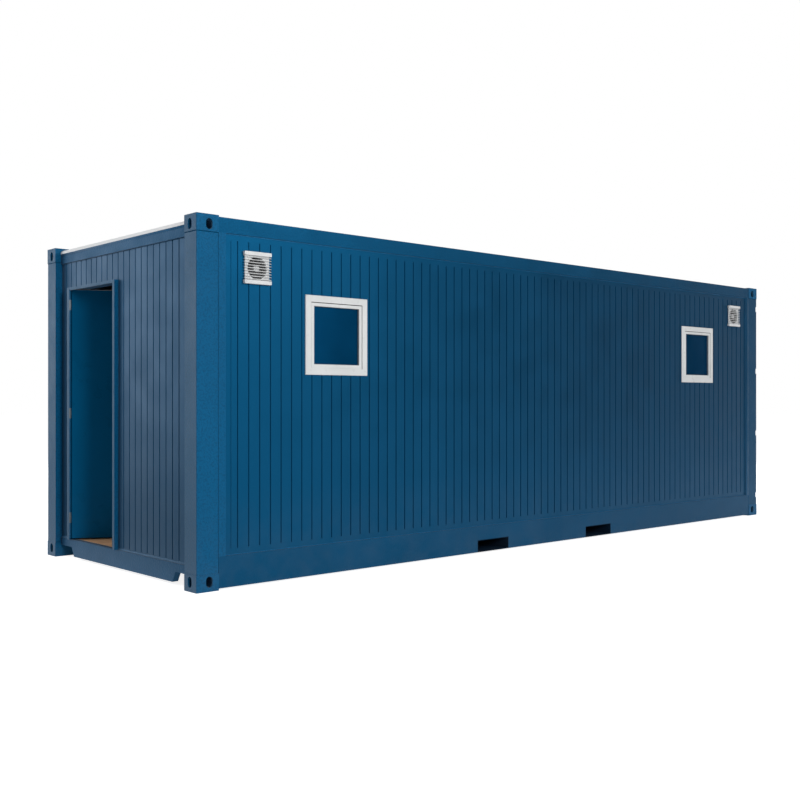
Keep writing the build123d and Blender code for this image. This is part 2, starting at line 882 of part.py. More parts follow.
def ventilator_grille(place):
    """Return the ventilator's face plate with its louvres and the duct through the wall."""
    outline = Plane((0, -sheet_face_y, vent_middle_level), x_dir=(1, 0, 0), z_dir=(0, -1, 0))
    plate_outline = outline * RectangleRounded(vent_size, vent_size, vent_corner_radius)
    depth = vent_plate_thickness + vent_band_depth
    housing = extrude(plate_outline, amount=depth)
    half_field = vent_size / 2 - vent_band_height
    field = block(
        (-vent_size, vent_size),
        (-vent_front_y, -vent_front_y - vent_band_depth - cut_overrun),
        (vent_middle_level - half_field, vent_middle_level + half_field),
    )
    comb_width = vent_size - 2 * vent_plate_inset
    side_space = block(
        (-vent_size, vent_size),
        (-sheet_face_y, -vent_front_y),
        (vent_middle_level - half_field, vent_middle_level + half_field),
    ) - block(
        (-comb_width / 2, comb_width / 2),
        (-sheet_face_y, -vent_front_y),
        (vent_middle_level - half_field, vent_middle_level + half_field),
    )
    duct_y = (-vent_front_y, -lining_y)
    duct = round_prism(vent_duct_radius + vent_duct_plate, 0, vent_middle_level, (-sheet_face_y, -lining_y))
    passage = round_prism(vent_duct_radius, 0, vent_middle_level, duct_y)
    grille = housing - field - side_space + duct - passage
    pitch = 2 * half_field / vent_louvre_count
    foot = vent_middle_level - half_field + pitch / 2 + vent_louvre_thickness / 2
    for index in range(vent_louvre_count):
        grille = grille + ventilator_louvre(foot + index * pitch)
    return Pos(place, 0, 0) * grille


def ventilator_motor(place):
    """Return the fan motor's housing, held in the duct by its arms."""
    front_y = -sheet_face_y
    motor_y = (front_y, front_y + vent_motor_length)
    motor = round_prism(vent_motor_radius, 0, vent_middle_level, motor_y)
    half_arm = vent_motor_arm / 2
    arm = block((0, vent_duct_radius), (front_y, front_y + vent_motor_arm), (-half_arm, half_arm))
    arm = arm & round_prism(vent_duct_radius, 0, 0, (front_y, front_y + vent_motor_arm))
    for index in range(vent_motor_arm_count):
        turned = arm.rotate(Axis.Y, index * 360 / vent_motor_arm_count)
        motor = motor + Pos(0, 0, vent_middle_level) * turned
    return Pos(place, 0, 0) * motor


for side, place in zip(("left", "right"), vent_places):
    save(f"ventilator_grille_{side}", ventilator_grille(place))
    save(f"ventilator_motor_{side}", ventilator_motor(place))
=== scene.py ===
"""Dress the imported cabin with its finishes, seals and fittings, and set the stage and the camera.

Metres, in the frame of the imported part: X along the cabin, the window wall at -Y, +Z up.
"""

import json
import logging
import math
from contextlib import contextmanager
from dataclasses import dataclass, replace
from enum import Enum
from functools import cached_property
from typing import Callable, Iterable, Iterator, Optional, Self, Sequence

import bpy
from mathutils import Matrix, Vector


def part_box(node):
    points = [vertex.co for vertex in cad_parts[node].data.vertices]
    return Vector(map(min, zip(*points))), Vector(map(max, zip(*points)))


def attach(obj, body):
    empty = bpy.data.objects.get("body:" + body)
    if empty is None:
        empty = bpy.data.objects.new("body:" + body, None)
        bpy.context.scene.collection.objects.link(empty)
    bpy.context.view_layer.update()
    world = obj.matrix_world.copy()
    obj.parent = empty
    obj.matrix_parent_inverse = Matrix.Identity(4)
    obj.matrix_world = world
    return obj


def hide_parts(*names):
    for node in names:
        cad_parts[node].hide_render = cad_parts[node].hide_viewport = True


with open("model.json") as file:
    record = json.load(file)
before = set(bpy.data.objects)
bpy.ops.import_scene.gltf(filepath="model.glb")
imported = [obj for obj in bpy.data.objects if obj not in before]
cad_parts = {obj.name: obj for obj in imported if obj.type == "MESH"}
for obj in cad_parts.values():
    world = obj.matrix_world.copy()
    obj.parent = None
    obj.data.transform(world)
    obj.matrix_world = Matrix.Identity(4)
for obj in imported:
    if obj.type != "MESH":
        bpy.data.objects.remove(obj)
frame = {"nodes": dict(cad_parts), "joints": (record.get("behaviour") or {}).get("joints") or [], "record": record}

LOG = logging.getLogger("cabin")

Colour = tuple[float, float, float]
Triple = Sequence[float]
Corners = tuple[Triple, Triple]
Inputs = dict[str | int, object]
Socket = bpy.types.NodeSocket
PairTest = Callable[[Vector, Vector], bool]


class Body(str, Enum):
    """The rigid bodies that a piece can ride on."""

    CABIN = "cabin"
    DOOR = "door"


class Slot(str, Enum):
    """The material slots of the part's record."""

    FRAME_PAINT = "blue_paint"
    WALL_SHEET = "blue_sheet"
    DOOR_SKIN = "door_blue"
    ROOF = "roof_white"
    LINING = "lining"
    FLOOR = "floor_board"
    WINDOW = "window_white"
    PANE = "pane"
    VENT = "vent_white"
    STEEL = "steel"


class Axis(int, Enum):
    """The three axes, as indices into a point."""

    X = 0
    Y = 1
    Z = 2


class Pick(Enum):
    """What a selection in edit mode is made of, as its three switches."""

    CORNERS = (True, False, False)
    EDGES = (False, True, False)
    FACES = (False, False, True)


# Finishes

WHITE: Colour = (1.0, 1.0, 1.0)

# The ranges of the noises that the finishes spread out
PATCH_RANGE = (0.35, 0.65)
GLOSS_RANGE = (0.3, 0.7)
FLECK_RANGE = (0.45, 0.70)
DUST_RANGE = (0.35, 0.75)
DUST_SHARES = (0.15, 1.0)
DUST_SPOTS_PER_METRE = 7.0

# How much finer the gloss varies than the colour
GLOSS_RATIO = 5.0

# How far a face looks out of the door end where the painted reflection, a paler grey-blue, starts and where it is
# full
END_VEIL_FACING_RANGE = (-0.6, -1.0)

# The sockets of a node that mixes colours, by number
MIX_SHARE = 0
MIX_BELOW = 6
MIX_ABOVE = 7
MIX_RESULT = 2


class NodeBoard:
    """The node tree of a material or a world, with short ways to add its nodes."""

    def __init__(self, owner: bpy.types.Material | bpy.types.World) -> None:
        """Open the node tree of a material or a world."""
        owner.use_nodes = True
        self.tree = owner.node_tree

    @cached_property
    def coordinates(self) -> bpy.types.bpy_prop_collection:
        """Return a piece's own coordinates, from a node made on first use."""
        return self.node("TexCoord").outputs

    def feed(self, node: bpy.types.Node, inputs: Inputs) -> None:
        """Set a node's inputs.

        Args:
            node: The node.
            inputs: The name or number of each input, with a socket to link, a colour or a value.
        """
        for key, value in inputs.items():
            target = node.inputs[key]
            if isinstance(value, Socket):
                self.tree.links.new(value, target)
            else:
                target.default_value = (*value, 1.0) if target.type == "RGBA" else value

    def node(self, kind: str, inputs: Optional[Inputs] = None, **settings: object) -> bpy.types.Node:
        """Add a node.

        Args:
            kind: The node's type, without the words that all types start with.
            inputs: What its inputs get.
            **settings: Property names and their values.

        Returns:
            The new node.
        """
        made = self.tree.nodes.new(f"ShaderNode{kind}")
        for key, value in settings.items():
            setattr(made, key, value)
        self.feed(made, inputs or {})
        return made

    def noise(self, scale: float, detail: float = 3.0, stretch: Triple = (1.0, 1.0, 1.0)) -> Socket:
        """Add a noise that follows the piece.

        Args:
            scale: Features per metre.
            detail: Octaves of finer noise.
            stretch: How the pattern is scaled along each axis.

        Returns:
            The noise value's socket.
        """
        place = self.node("Mapping", {"Vector": self.coordinates["Object"], "Scale": stretch})
        inputs = {"Vector": place.outputs["Vector"], "Scale": scale, "Detail": detail}
        return self.node("TexNoise", inputs).outputs["Fac"]

    def spread(self, source: Socket, start: Triple, end: Triple) -> Socket:
        """Map a value from one range to another, clamped.

        Args:
            source: The value to map.
            start: The two ends of the range taken in.
            end: What those two become.

        Returns:
            The mapped value's socket.
        """
        limits = {"From Min": start[0], "From Max": start[1], "To Min": end[0], "To Max": end[1]}
        return self.node("MapRange", {"Value": source, **limits}).outputs["Result"]

    def blend(self, share: Socket, first: Socket | Colour, second: Colour) -> Socket:
        """Lay a second colour over a first by its share, and return the mixed colour's socket."""
        inputs = {MIX_SHARE: share, MIX_BELOW: first, MIX_ABOVE: second}
        return self.node("Mix", inputs, data_type="RGBA").outputs[MIX_RESULT]

    def relief(self, height: Socket, depth: float, below: Optional[Socket]) -> Socket:
        """Add a bump to the surface.

        Args:
            height: The height from 0 to 1.
            depth: How deep that is, in metres.
            below: The bumped normal that this bump lies over, if any.

        Returns:
            The bumped normal's socket.
        """
        inputs = {"Strength": 1.0, "Distance": depth, "Height": height}
        if below is not None:
            inputs["Normal"] = below
        return self.node("Bump", inputs).outputs["Normal"]

    def component(self, source: Socket, axis: Axis) -> Socket:
        """Return one component of a point or a direction."""
        return self.node("SeparateXYZ", {"Vector": source}).outputs[axis.value]


@dataclass(frozen=True)
class Finish:
    """A finish with mottled colour, uneven gloss, a fine relief, a painted reflection on faces that look out of
    the door end, and dust near the ground.
    """

    name: str
    colour: Colour
    shade: Colour
    slot: Optional[Slot] = None
    patch_scale: float = 2.0
    stretch: Triple = (1.0, 1.0, 1.0)
    roughness: Triple = (0.35, 0.5)
    grain_scale: float = 150.0
    grain_depth: float = 0.0002
    wave_scale: float = 3.0
    wave_depth: float = 0.0
    metallic: float = 0.0
    ior: float = 1.45
    sheen: float = 0.0
    sheen_roughness: float = 0.35
    transmission: float = 0.0
    fleck: float = 0.0
    fleck_colour: Colour = (0.0, 0.0, 0.0)
    dust: float = 0.0
    dust_colour: Colour = (0.30, 0.28, 0.25)
    dust_height: float = 0.7
    # Painted reflection: faces that look out of the door end turn towards this paler grey-blue
    painted_end_veil: float = 0.0
    painted_end_veil_colour: Colour = (0.072, 0.116, 0.166)

    def lay_on(self, item: bpy.types.Object) -> None:
        """Give an object this finish alone."""
        item.data.materials.clear()
        item.data.materials.append(self.material())

    def material(self) -> bpy.types.Material:
        """Return the finish's material, made on first use."""
        made = bpy.data.materials.get(self.name)
        return made if made is not None else self.build()

    def build(self) -> bpy.types.Material:
        """Make the material's nodes.

        Returns:
            The new material.
        """
        made = bpy.data.materials.new(self.name)
        board = NodeBoard(made)
        gloss = board.noise(self.patch_scale * GLOSS_RATIO)
        inputs = {
            "Base Color": self.paint(board),
            "Roughness": board.spread(gloss, GLOSS_RANGE, self.roughness),
            "Metallic": self.metallic,
            "IOR": self.ior,
            "Sheen Weight": self.sheen,
            "Sheen Roughness": self.sheen_roughness,
            "Transmission Weight": self.transmission,
        }
        bump = None
        if self.wave_depth > 0.0:
            bump = board.relief(board.noise(self.wave_scale, detail=1.0), self.wave_depth, bump)
        if self.grain_depth > 0.0:
            grain = board.noise(self.grain_scale, detail=2.0, stretch=self.stretch)
            bump = board.relief(grain, self.grain_depth, bump)
        if bump is not None:
            inputs["Normal"] = bump
        board.feed(made.node_tree.nodes["Principled BSDF"], inputs)
        return made

    def paint(self, board: NodeBoard) -> Socket:
        """Lay the colours over each other.

        Args:
            board: The material's nodes.

        Returns:
            The colour's socket.
        """
        patches = board.noise(self.patch_scale, detail=4.0, stretch=self.stretch)
        colour = board.blend(board.spread(patches, PATCH_RANGE, (0.0, 1.0)), self.colour, self.shade)
        if self.fleck > 0.0:
            specks = board.spread(board.noise(self.grain_scale), FLECK_RANGE, (0.0, self.fleck))
            colour = board.blend(specks, colour, self.fleck_colour)
        # Painted reflection: faces that look out of the door end turn a paler grey-blue, like the grey veil of a
        # bright surround seen at a glancing angle
        if self.painted_end_veil > 0.0:
            facing = board.component(board.coordinates["Normal"], Axis.X)
            painted_veil_share = board.spread(facing, END_VEIL_FACING_RANGE, (0.0, self.painted_end_veil))
            colour = board.blend(painted_veil_share, colour, self.painted_end_veil_colour)
        if self.dust > 0.0:
            level = board.component(board.coordinates["Object"], Axis.Z)
            low = board.spread(level, (0.0, self.dust_height), (self.dust, 0.0))
            spots = board.spread(board.noise(DUST_SPOTS_PER_METRE, detail=6.0), DUST_RANGE, DUST_SHARES)
            share = board.node("Math", {0: low, 1: spots}, operation="MULTIPLY")
            colour = board.blend(share.outputs[0], colour, self.dust_colour)
        return colour


@dataclass(frozen=True)
class BoardFinish(Finish):
    """Floor boards with a long grain and dark joints."""

    board_length: float = 2.4
    board_width: float = 1.2
    joint_width: float = 0.003
    joint_colour: Colour = (0.05, 0.03, 0.02)
    streaks_per_metre: float = 5.0
    streak_range: Triple = (0.45, 0.7)
    streak_share: float = 0.6
    streak_stretch: Triple = (1.0, 14.0, 1.0)

    def paint(self, board: NodeBoard) -> Socket:
        """Lay the grain and the joints over the board's colour.

        Args:
            board: The material's nodes.

        Returns:
            The colour's socket.
        """
        streaks = board.noise(self.streaks_per_metre, detail=8.0, stretch=self.streak_stretch)
        grain = board.spread(streaks, self.streak_range, (0.0, self.streak_share))
        colour = board.blend(grain, super().paint(board), self.shade)
        pattern = {
            "Vector": board.coordinates["Object"],
            "Scale": 1.0,
            "Brick Width": self.board_length,
            "Row Height": self.board_width,
            "Mortar Size": self.joint_width,
        }
        return board.blend(board.node("TexBrick", pattern).outputs["Fac"], colour, self.joint_colour)


FRAME_PAINT = Finish(
    "frame_paint", (0.0004, 0.088, 0.205), (0.0003, 0.080, 0.187), Slot.FRAME_PAINT,
    patch_scale=1.4, roughness=(0.42, 0.54), grain_scale=75.0, grain_depth=0.0020,
    wave_scale=4.0, wave_depth=0.0012, metallic=0.12, ior=1.18, sheen=0.12,
    fleck=0.85, fleck_colour=(0.0003, 0.054, 0.130), dust=0.05, painted_end_veil=0.5,
)
RAIL_PAINT = replace(
    FRAME_PAINT, name="rail_paint", colour=(0.0004, 0.058, 0.136), shade=(0.0003, 0.052, 0.122),
    metallic=0.60, fleck=0.35, painted_end_veil=0.0,
)
# The fork pockets in near-black blue in place of the frame's blue: painted shade of their unlit insides
POCKET_PAINTED_SHADE = replace(
    FRAME_PAINT, name="pocket_painted_shade", colour=(0.0010, 0.014, 0.034), shade=(0.0008, 0.010, 0.026),
    roughness=(0.80, 0.95), metallic=0.0, ior=1.05, sheen=0.0, fleck=0.0, painted_end_veil=0.0,
)
# The dark rings under the top castings: painted shadow of the castings' overhang
SEAM_PAINTED_SHADOW = replace(
    POCKET_PAINTED_SHADE, name="seam_painted_shadow", colour=(0.0006, 0.040, 0.094), shade=(0.0005, 0.034, 0.080),
)
WALL_SHEET = Finish(
    "wall_sheet", (0.0004, 0.060, 0.140), (0.0003, 0.054, 0.127), Slot.WALL_SHEET,
    patch_scale=0.9, stretch=(1.0, 1.0, 0.35), roughness=(0.40, 0.50), grain_scale=240.0,
    grain_depth=0.0002, wave_scale=1.3, wave_depth=0.0012, metallic=0.72, ior=1.18, sheen=0.20,
    fleck=0.25, fleck_colour=(0.0004, 0.042, 0.104), dust=0.04,
)
# The end walls' sheet: a shaded copy of the wall sheet, its darker blue is painted shade for the less lit end
# walls
SHADED_END_SHEET = replace(
    WALL_SHEET, name="end_sheet_painted_shade", colour=(0.0004, 0.052, 0.122), shade=(0.0003, 0.047, 0.110),
    metallic=0.55, ior=1.25,
)
DOOR_SKIN = Finish(
    "door_skin", (0.0004, 0.088, 0.206), (0.0003, 0.080, 0.188), Slot.DOOR_SKIN,
    patch_scale=1.6, roughness=(0.26, 0.34), grain_scale=200.0, grain_depth=0.0003,
    wave_scale=2.0, wave_depth=0.0008, metallic=0.1, ior=1.08, dust=0.03,
)
# The sealant beads round the wall sheets are real; their blue, lighter than the sheet's, is a painted highlight of
# their lit edge
SEALANT_PAINTED_HIGHLIGHT = Finish(
    "joint_sealant_painted_highlight", (0.004, 0.100, 0.225), (0.003, 0.084, 0.190),
    patch_scale=6.0, roughness=(0.35, 0.50), grain_scale=90.0, grain_depth=0.0004,
    metallic=0.4, ior=1.3,
)
ROOF_SHEET = Finish(
    "roof_sheet_white", (0.86, 0.87, 0.88), (0.74, 0.75, 0.76), Slot.ROOF,
    patch_scale=1.1, stretch=(1.0, 0.25, 1.0), roughness=(0.55, 0.70), grain_scale=90.0,
    grain_depth=0.0003, ior=1.18,
)
LINING = Finish(
    "wall_lining", (0.27, 0.30, 0.34), (0.235, 0.262, 0.295), Slot.LINING,
    patch_scale=0.8, roughness=(0.45, 0.60), grain_scale=260.0, grain_depth=0.0002,
)
# Floor boards in an orange-brown lighter than their own tone: painted light for the doorway's light that the deck
# doesn't get
FLOOR_BOARD_PAINTED_LIGHT = BoardFinish(
    "floor_boards_painted_light", (0.76, 0.455, 0.252), (0.56, 0.318, 0.170), Slot.FLOOR,
    patch_scale=1.5, stretch=(1.0, 4.0, 1.0), roughness=(0.45, 0.65), grain_scale=60.0,
    grain_depth=0.0003,
)
WINDOW_PLASTIC = Finish(
    "window_plastic", (0.625, 0.635, 0.635), (0.580, 0.590, 0.590), Slot.WINDOW,
    patch_scale=4.0, roughness=(0.26, 0.36), grain_scale=320.0, grain_depth=0.0001, ior=1.4,
)
VENT_PLASTIC = Finish(
    "ventilator_plastic", (0.63, 0.64, 0.645), (0.575, 0.585, 0.590), Slot.VENT,
    patch_scale=9.0, roughness=(0.30, 0.42), grain_scale=280.0, grain_depth=0.0001, ior=1.4,
)
PANE_GLASS = Finish(
    "pane_glass", (0.0003, 0.060, 0.155), (0.0002, 0.054, 0.141), Slot.PANE,
    patch_scale=1.2, roughness=(0.16, 0.22), grain_depth=0.0, metallic=0.6, ior=1.12,
    transmission=0.15,
)
BARE_STEEL = Finish(
    "bare_steel", (0.34, 0.35, 0.36), (0.24, 0.245, 0.25), Slot.STEEL,
    patch_scale=14.0, stretch=(1.0, 1.0, 0.12), roughness=(0.30, 0.44), grain_scale=500.0,
    grain_depth=0.00008, metallic=1.0,
)
HINGE_STEEL = replace(BARE_STEEL, name="hinge_steel", colour=(0.15, 0.18, 0.21), shade=(0.10, 0.12, 0.14))
SEAL_RUBBER = Finish(
    "seal_rubber", (0.012, 0.012, 0.013), (0.022, 0.022, 0.022),
    patch_scale=25.0, roughness=(0.55, 0.75), grain_scale=400.0, grain_depth=0.0002,
)
# The window gaskets are real; their grey is the painted shade of the white reveal beside the pane
GASKET_PAINTED_SHADE = replace(
    SEAL_RUBBER, name="gasket_rubber_painted_shade", colour=(0.16, 0.17, 0.185), shade=(0.12, 0.13, 0.14),
)
FAN_PLASTIC = Finish(
    "fan_plastic", (0.10, 0.10, 0.104), (0.07, 0.07, 0.073),
    patch_scale=20.0, roughness=(0.40, 0.55), grain_scale=300.0, grain_depth=0.0001,
)

SLOT_FINISHES: dict[Optional[Slot], Finish] = {
    finish.slot: finish
    for finish in (
        FRAME_PAINT, WALL_SHEET, DOOR_SKIN, ROOF_SHEET, LINING,
        FLOOR_BOARD_PAINTED_LIGHT, WINDOW_PLASTIC, PANE_GLASS, VENT_PLASTIC, BARE_STEEL,
    )
}


# Modelling moves

# How nearly a face's normal lies along an axis where the face looks that way
SQUARE_ON = 0.9

# The edges that are rounded, the faces that are shaded as one, and the faces round a full corner
EDGE_ANGLE = math.radians(30)
SMOOTH_ANGLE = math.radians(35)
CORNER_SEGMENTS = 6


class Piece:
    """One object on the bench, with the moves that shape it by hand."""

    def __init__(self, item: bpy.types.Object) -> None:
        """Take hold of an object."""
        self.item = item

    @staticmethod
    def clear() -> None:
        """Leave edit mode and deselect everything."""
        if bpy.context.mode != "OBJECT":
            bpy.ops.object.mode_set(mode="OBJECT")
        bpy.ops.object.select_all(action="DESELECT")

    def take(self) -> None:
        """Make the piece the only selected and active object."""
        Piece.clear()
        self.item.select_set(True)
        bpy.context.view_layer.objects.active = self.item

    def rename(self, name: str) -> Self:
        """Name the object and its mesh.

        Args:
            name: The piece's name.

        Returns:
            The same piece.
        """
        self.item.name = name
        self.item.data.name = name
        return self

    @classmethod
    def settle(cls, name: str) -> Self:
        """Name the primitive just added and move its place into its mesh.

        Args:
            name: The piece's name.

        Returns:
            The new piece.
        """
        piece = cls(bpy.context.object).rename(name)
        piece.take()
        bpy.ops.object.transform_apply(location=True, rotation=True, scale=True)
        return piece

    @classmethod
    def block(cls, name: str, first: Triple, second: Triple) -> Self:
        """Add a box between two opposite corners.

        Args:
            name: The piece's name.
            first: One corner.
            second: The opposite corner.

        Returns:
            The new piece.
        """
        cls.clear()
        low = Vector([min(pair) for pair in zip(first, second)])
        high = Vector([max(pair) for pair in zip(first, second)])
        bpy.ops.mesh.primitive_cube_add(size=1.0, location=(low + high) / 2, scale=high - low)
        return cls.settle(name)

    @classmethod
    def rod(cls, name: str, start: Triple, end: Triple, radius: float, sides: int = 24) -> Self:
        """Add a round bar between two points.

        Args:
            name: The piece's name.
            start: The middle of one end.
            end: The middle of the other end.
            radius: The bar's radius.
            sides: The number of its sides.

        Returns:
            The new piece.
        """
        cls.clear()
        run = Vector(end) - Vector(start)
        bpy.ops.mesh.primitive_cylinder_add(
            vertices=sides,
            radius=radius,
            depth=run.length,
            location=(Vector(start) + Vector(end)) / 2,
            rotation=run.to_track_quat("Z", "Y").to_euler(),
        )
        return cls.settle(name)

    @classmethod
    def ring(cls, name: str, first: Triple, second: Triple, axis: Axis, band: float) -> Self:
        """Add a rectangular ring, open along one axis.

        Args:
            name: The piece's name.
            first: One outer corner.
            second: The opposite outer corner.
            axis: The axis that the ring is open along.
            band: How wide the ring's bars are.

        Returns:
            The new piece.
        """
        piece = cls.block(name, first, second)
        with piece.editing(Pick.FACES, lambda middle, normal: abs(normal[axis]) > SQUARE_ON):
            bpy.ops.mesh.inset(thickness=band, use_individual=True)
            bpy.ops.mesh.bridge_edge_loops()
        return piece

    @contextmanager
    def editing(self, pick: Pick, wanted: Callable[..., bool]) -> Iterator[None]:
        """Stay in edit mode with the wanted corners, edges or faces selected.

        Args:
            pick: What is selected.
            wanted: A test on a corner, on an edge's two ends, or on a face's middle and normal.

        Yields:
            Nothing, once, for the edits.
        """
        self.take()
        bpy.context.tool_settings.mesh_select_mode = pick.value
        mesh = self.item.data
        for group in (mesh.vertices, mesh.edges, mesh.polygons):
            group.foreach_set("select", [False] * len(group))
        if pick is Pick.CORNERS:
            rows = [(corner, [corner.co]) for corner in mesh.vertices]
        elif pick is Pick.EDGES:
            rows = [(edge, [mesh.vertices[index].co for index in edge.vertices]) for edge in mesh.edges]
        else:
            rows = [(face, [face.center, face.normal]) for face in mesh.polygons]
        for row, measures in rows:
            row.select = wanted(*measures)
        bpy.ops.object.mode_set(mode="EDIT")
        yield
        bpy.ops.object.mode_set(mode="OBJECT")

    def inset(self, wanted: PairTest, width: float, depth: float = 0.0) -> None:
        """Inset the wanted faces by a width, each on its own, and lift the inner ones by a depth."""
        with self.editing(Pick.FACES, wanted):
            bpy.ops.mesh.inset(thickness=width, depth=depth, use_individual=True)

    def extrude(self, wanted: PairTest, move: Triple) -> None:
        """Pull the wanted faces out along a straight line."""
        with self.editing(Pick.FACES, wanted):
            bpy.ops.mesh.extrude_region_move(TRANSFORM_OT_translate={"value": tuple(move)})

    def slide(self, wanted: Callable[[Vector], bool], move: Triple) -> None:
        """Move the wanted corners along a straight line."""
        with self.editing(Pick.CORNERS, wanted):
            bpy.ops.transform.translate(value=tuple(move))

    def round_edge(self, wanted: PairTest, radius: float) -> None:
        """Round the edges whose two ends pass the test with a full radius."""
        with self.editing(Pick.EDGES, wanted):
            bpy.ops.mesh.bevel(offset=radius, segments=CORNER_SEGMENTS, affect="EDGES")

    def soften(self, width: float, segments: int = 2) -> Self:
        """Round the edges and smooth the shading.

        Args:
            width: The width of the rounding.
            segments: How many faces go round an edge.

        Returns:
            The same piece.
        """
        self.take()
        bevel = self.item.modifiers.new("soft_edges", "BEVEL")
        bevel.width = width
        bevel.segments = segments
        bevel.limit_method = "ANGLE"
        bevel.angle_limit = EDGE_ANGLE
        bpy.ops.object.modifier_apply(modifier=bevel.name)
        bpy.ops.object.shade_smooth_by_angle(angle=SMOOTH_ANGLE)
        return self

    def cut(self, cutter: Self) -> Self:
        """Take a shape out of the piece and remove the shape.

        Args:
            cutter: The shape that is taken away.

        Returns:
            The cut piece.
        """
        self.take()
        boolean = self.item.modifiers.new("cut", "BOOLEAN")
        boolean.operation = "DIFFERENCE"
        boolean.solver = "EXACT"
        boolean.object = cutter.item
        bpy.ops.object.modifier_apply(modifier=boolean.name)
        bpy.data.objects.remove(cutter.item)
        return self

    def turn(self, place: Matrix) -> Self:
        """Carry the finished piece to its place, inside its mesh.

        Args:
            place: The move from where it was modelled.

        Returns:
            The same piece.
        """
        self.item.data.transform(place)
        self.item.data.update()
        return self

    @classmethod
    def join(cls, name: str, pieces: Sequence[Self]) -> Self:
        """Join pieces into the first of them.

        Args:
            name: The joined piece's name.
            pieces: What is joined.

        Returns:
            The joined piece.
        """
        pieces[0].take()
        for piece in pieces:
            piece.item.select_set(True)
        bpy.ops.object.join()
        return pieces[0].rename(name)

    def repeat(self, name: str, places: Iterable[Matrix]) -> Self:
        """Copy the piece to several places, each copy with its own mesh, and join the copies.

        Args:
            name: The joined piece's name.
            places: Where each copy goes.

        Returns:
            The joined copies, which stand in for the piece.
        """
        copies = []
        for place in places:
            copy = self.item.copy()
            copy.data = self.item.data.copy()
            bpy.context.scene.collection.objects.link(copy)
            copies.append(Piece(copy).turn(place))
        bpy.data.objects.remove(self.item)
        return Piece.join(name, copies)

    def hand_over(self, finish: Finish, body: Body = Body.CABIN) -> None:
        """Give the piece its finish and the body that it rides on, and report it.

        Args:
            finish: Its finish.
            body: The body that it moves with.
        """
        finish.lay_on(self.item)
        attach(self.item, body.value)
        LOG.info("%s rides on %s with %d faces", self.item.name, body.value, len(self.item.data.polygons))


def looks(axis: Axis, way: float) -> PairTest:
    """Return a test for faces that look one way along an axis."""
    return lambda middle, normal: normal[axis] * way > SQUARE_ON


def shift(along: float = 0.0, across: float = 0.0, up: float = 0.0) -> Matrix:
    """Return a move along the three axes."""
    return Matrix.Translation((along, across, up))


def steps(count: int, pitch: float) -> list[float]:
    """Return evenly spaced places about zero."""
    return [(index - (count - 1) / 2) * pitch for index in range(count)]


def spokes(hub: Triple, count: int) -> list[Matrix]:
    """Return evenly spaced turns about a hub that looks along Y."""
    turns = [Matrix.Rotation(math.tau * index / count, 4, "Y") for index in range(count)]
    return [Matrix.Translation(hub) @ turn for turn in turns]


def outer_face(node: str, axis: Axis, outward: float) -> float:
    """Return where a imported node's outer face lies along an axis."""
    low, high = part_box(node)
    return (low if outward < 0 else high)[axis]


# Sub-assemblies


@dataclass
class CabinShell:
    """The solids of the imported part, each with its slot's finish or one of its own."""

    own_finishes: tuple[tuple[str, Finish], ...] = (
        ("roof_rail_", RAIL_PAINT),
        ("base_rail_", RAIL_PAINT),
        ("corner_post_far_", RAIL_PAINT),
        # The end walls' sheets take a darker blue, painted shade
        ("door_wall_sheet", SHADED_END_SHEET),
        ("far_wall_sheet", SHADED_END_SHEET),
        ("door_hinge_", HINGE_STEEL),
        # The fork pockets take a near-black blue, painted shade of their insides
        ("fork_pockets", POCKET_PAINTED_SHADE),
    )

    def dress(self) -> None:
        """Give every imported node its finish."""
        for row in frame["record"]["subparts"]:
            finish = SLOT_FINISHES[Slot(row["material_slot"])]
            for start, own in self.own_finishes:
                if row["node"].startswith(start):
                    finish = own
            finish.lay_on(frame["nodes"][row["node"]])
            LOG.info("%s wears %s", row["node"], finish.name)


@dataclass
class LongWall:
    """The sealing bead round one long wall's sheet, and the strip on its far stile."""

    side: str
    outward: float
    border_step: float = 0.003
    bead_width: float = 0.007
    bead_depth: float = 0.0024
    bead_rounding: float = 0.0012
    strip_depth: float = 0.0012
    strip_rounding: float = 0.00048

    def build(self) -> None:
        """Build the bead on the sheet's border, and the strip in the rails' paint up to the far post."""
        sheet = f"{self.side}_wall_sheet"
        low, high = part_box(sheet)
        face = outer_face(sheet, Axis.Y, self.outward) - self.outward * self.border_step
        bead = Piece.ring(
            f"{self.side}_wall_bead",
            (low.x, face, low.z),
            (high.x, face + self.outward * self.bead_depth, high.z),
            Axis.Y,
            self.bead_width,
        )
        bead.soften(self.bead_rounding).hand_over(SEALANT_PAINTED_HIGHLIGHT)
        stile_low, stile_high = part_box("wall_stiles")
        face = outer_face("wall_stiles", Axis.Y, self.outward)
        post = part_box(f"corner_post_far_{self.side}")[0].x
        strip = Piece.block(
            f"{self.side}_stile_strip",
            (high.x, face, stile_low.z),
            (post, face + self.outward * self.strip_depth, stile_high.z),
        )
        strip.soften(self.strip_rounding).hand_over(RAIL_PAINT)


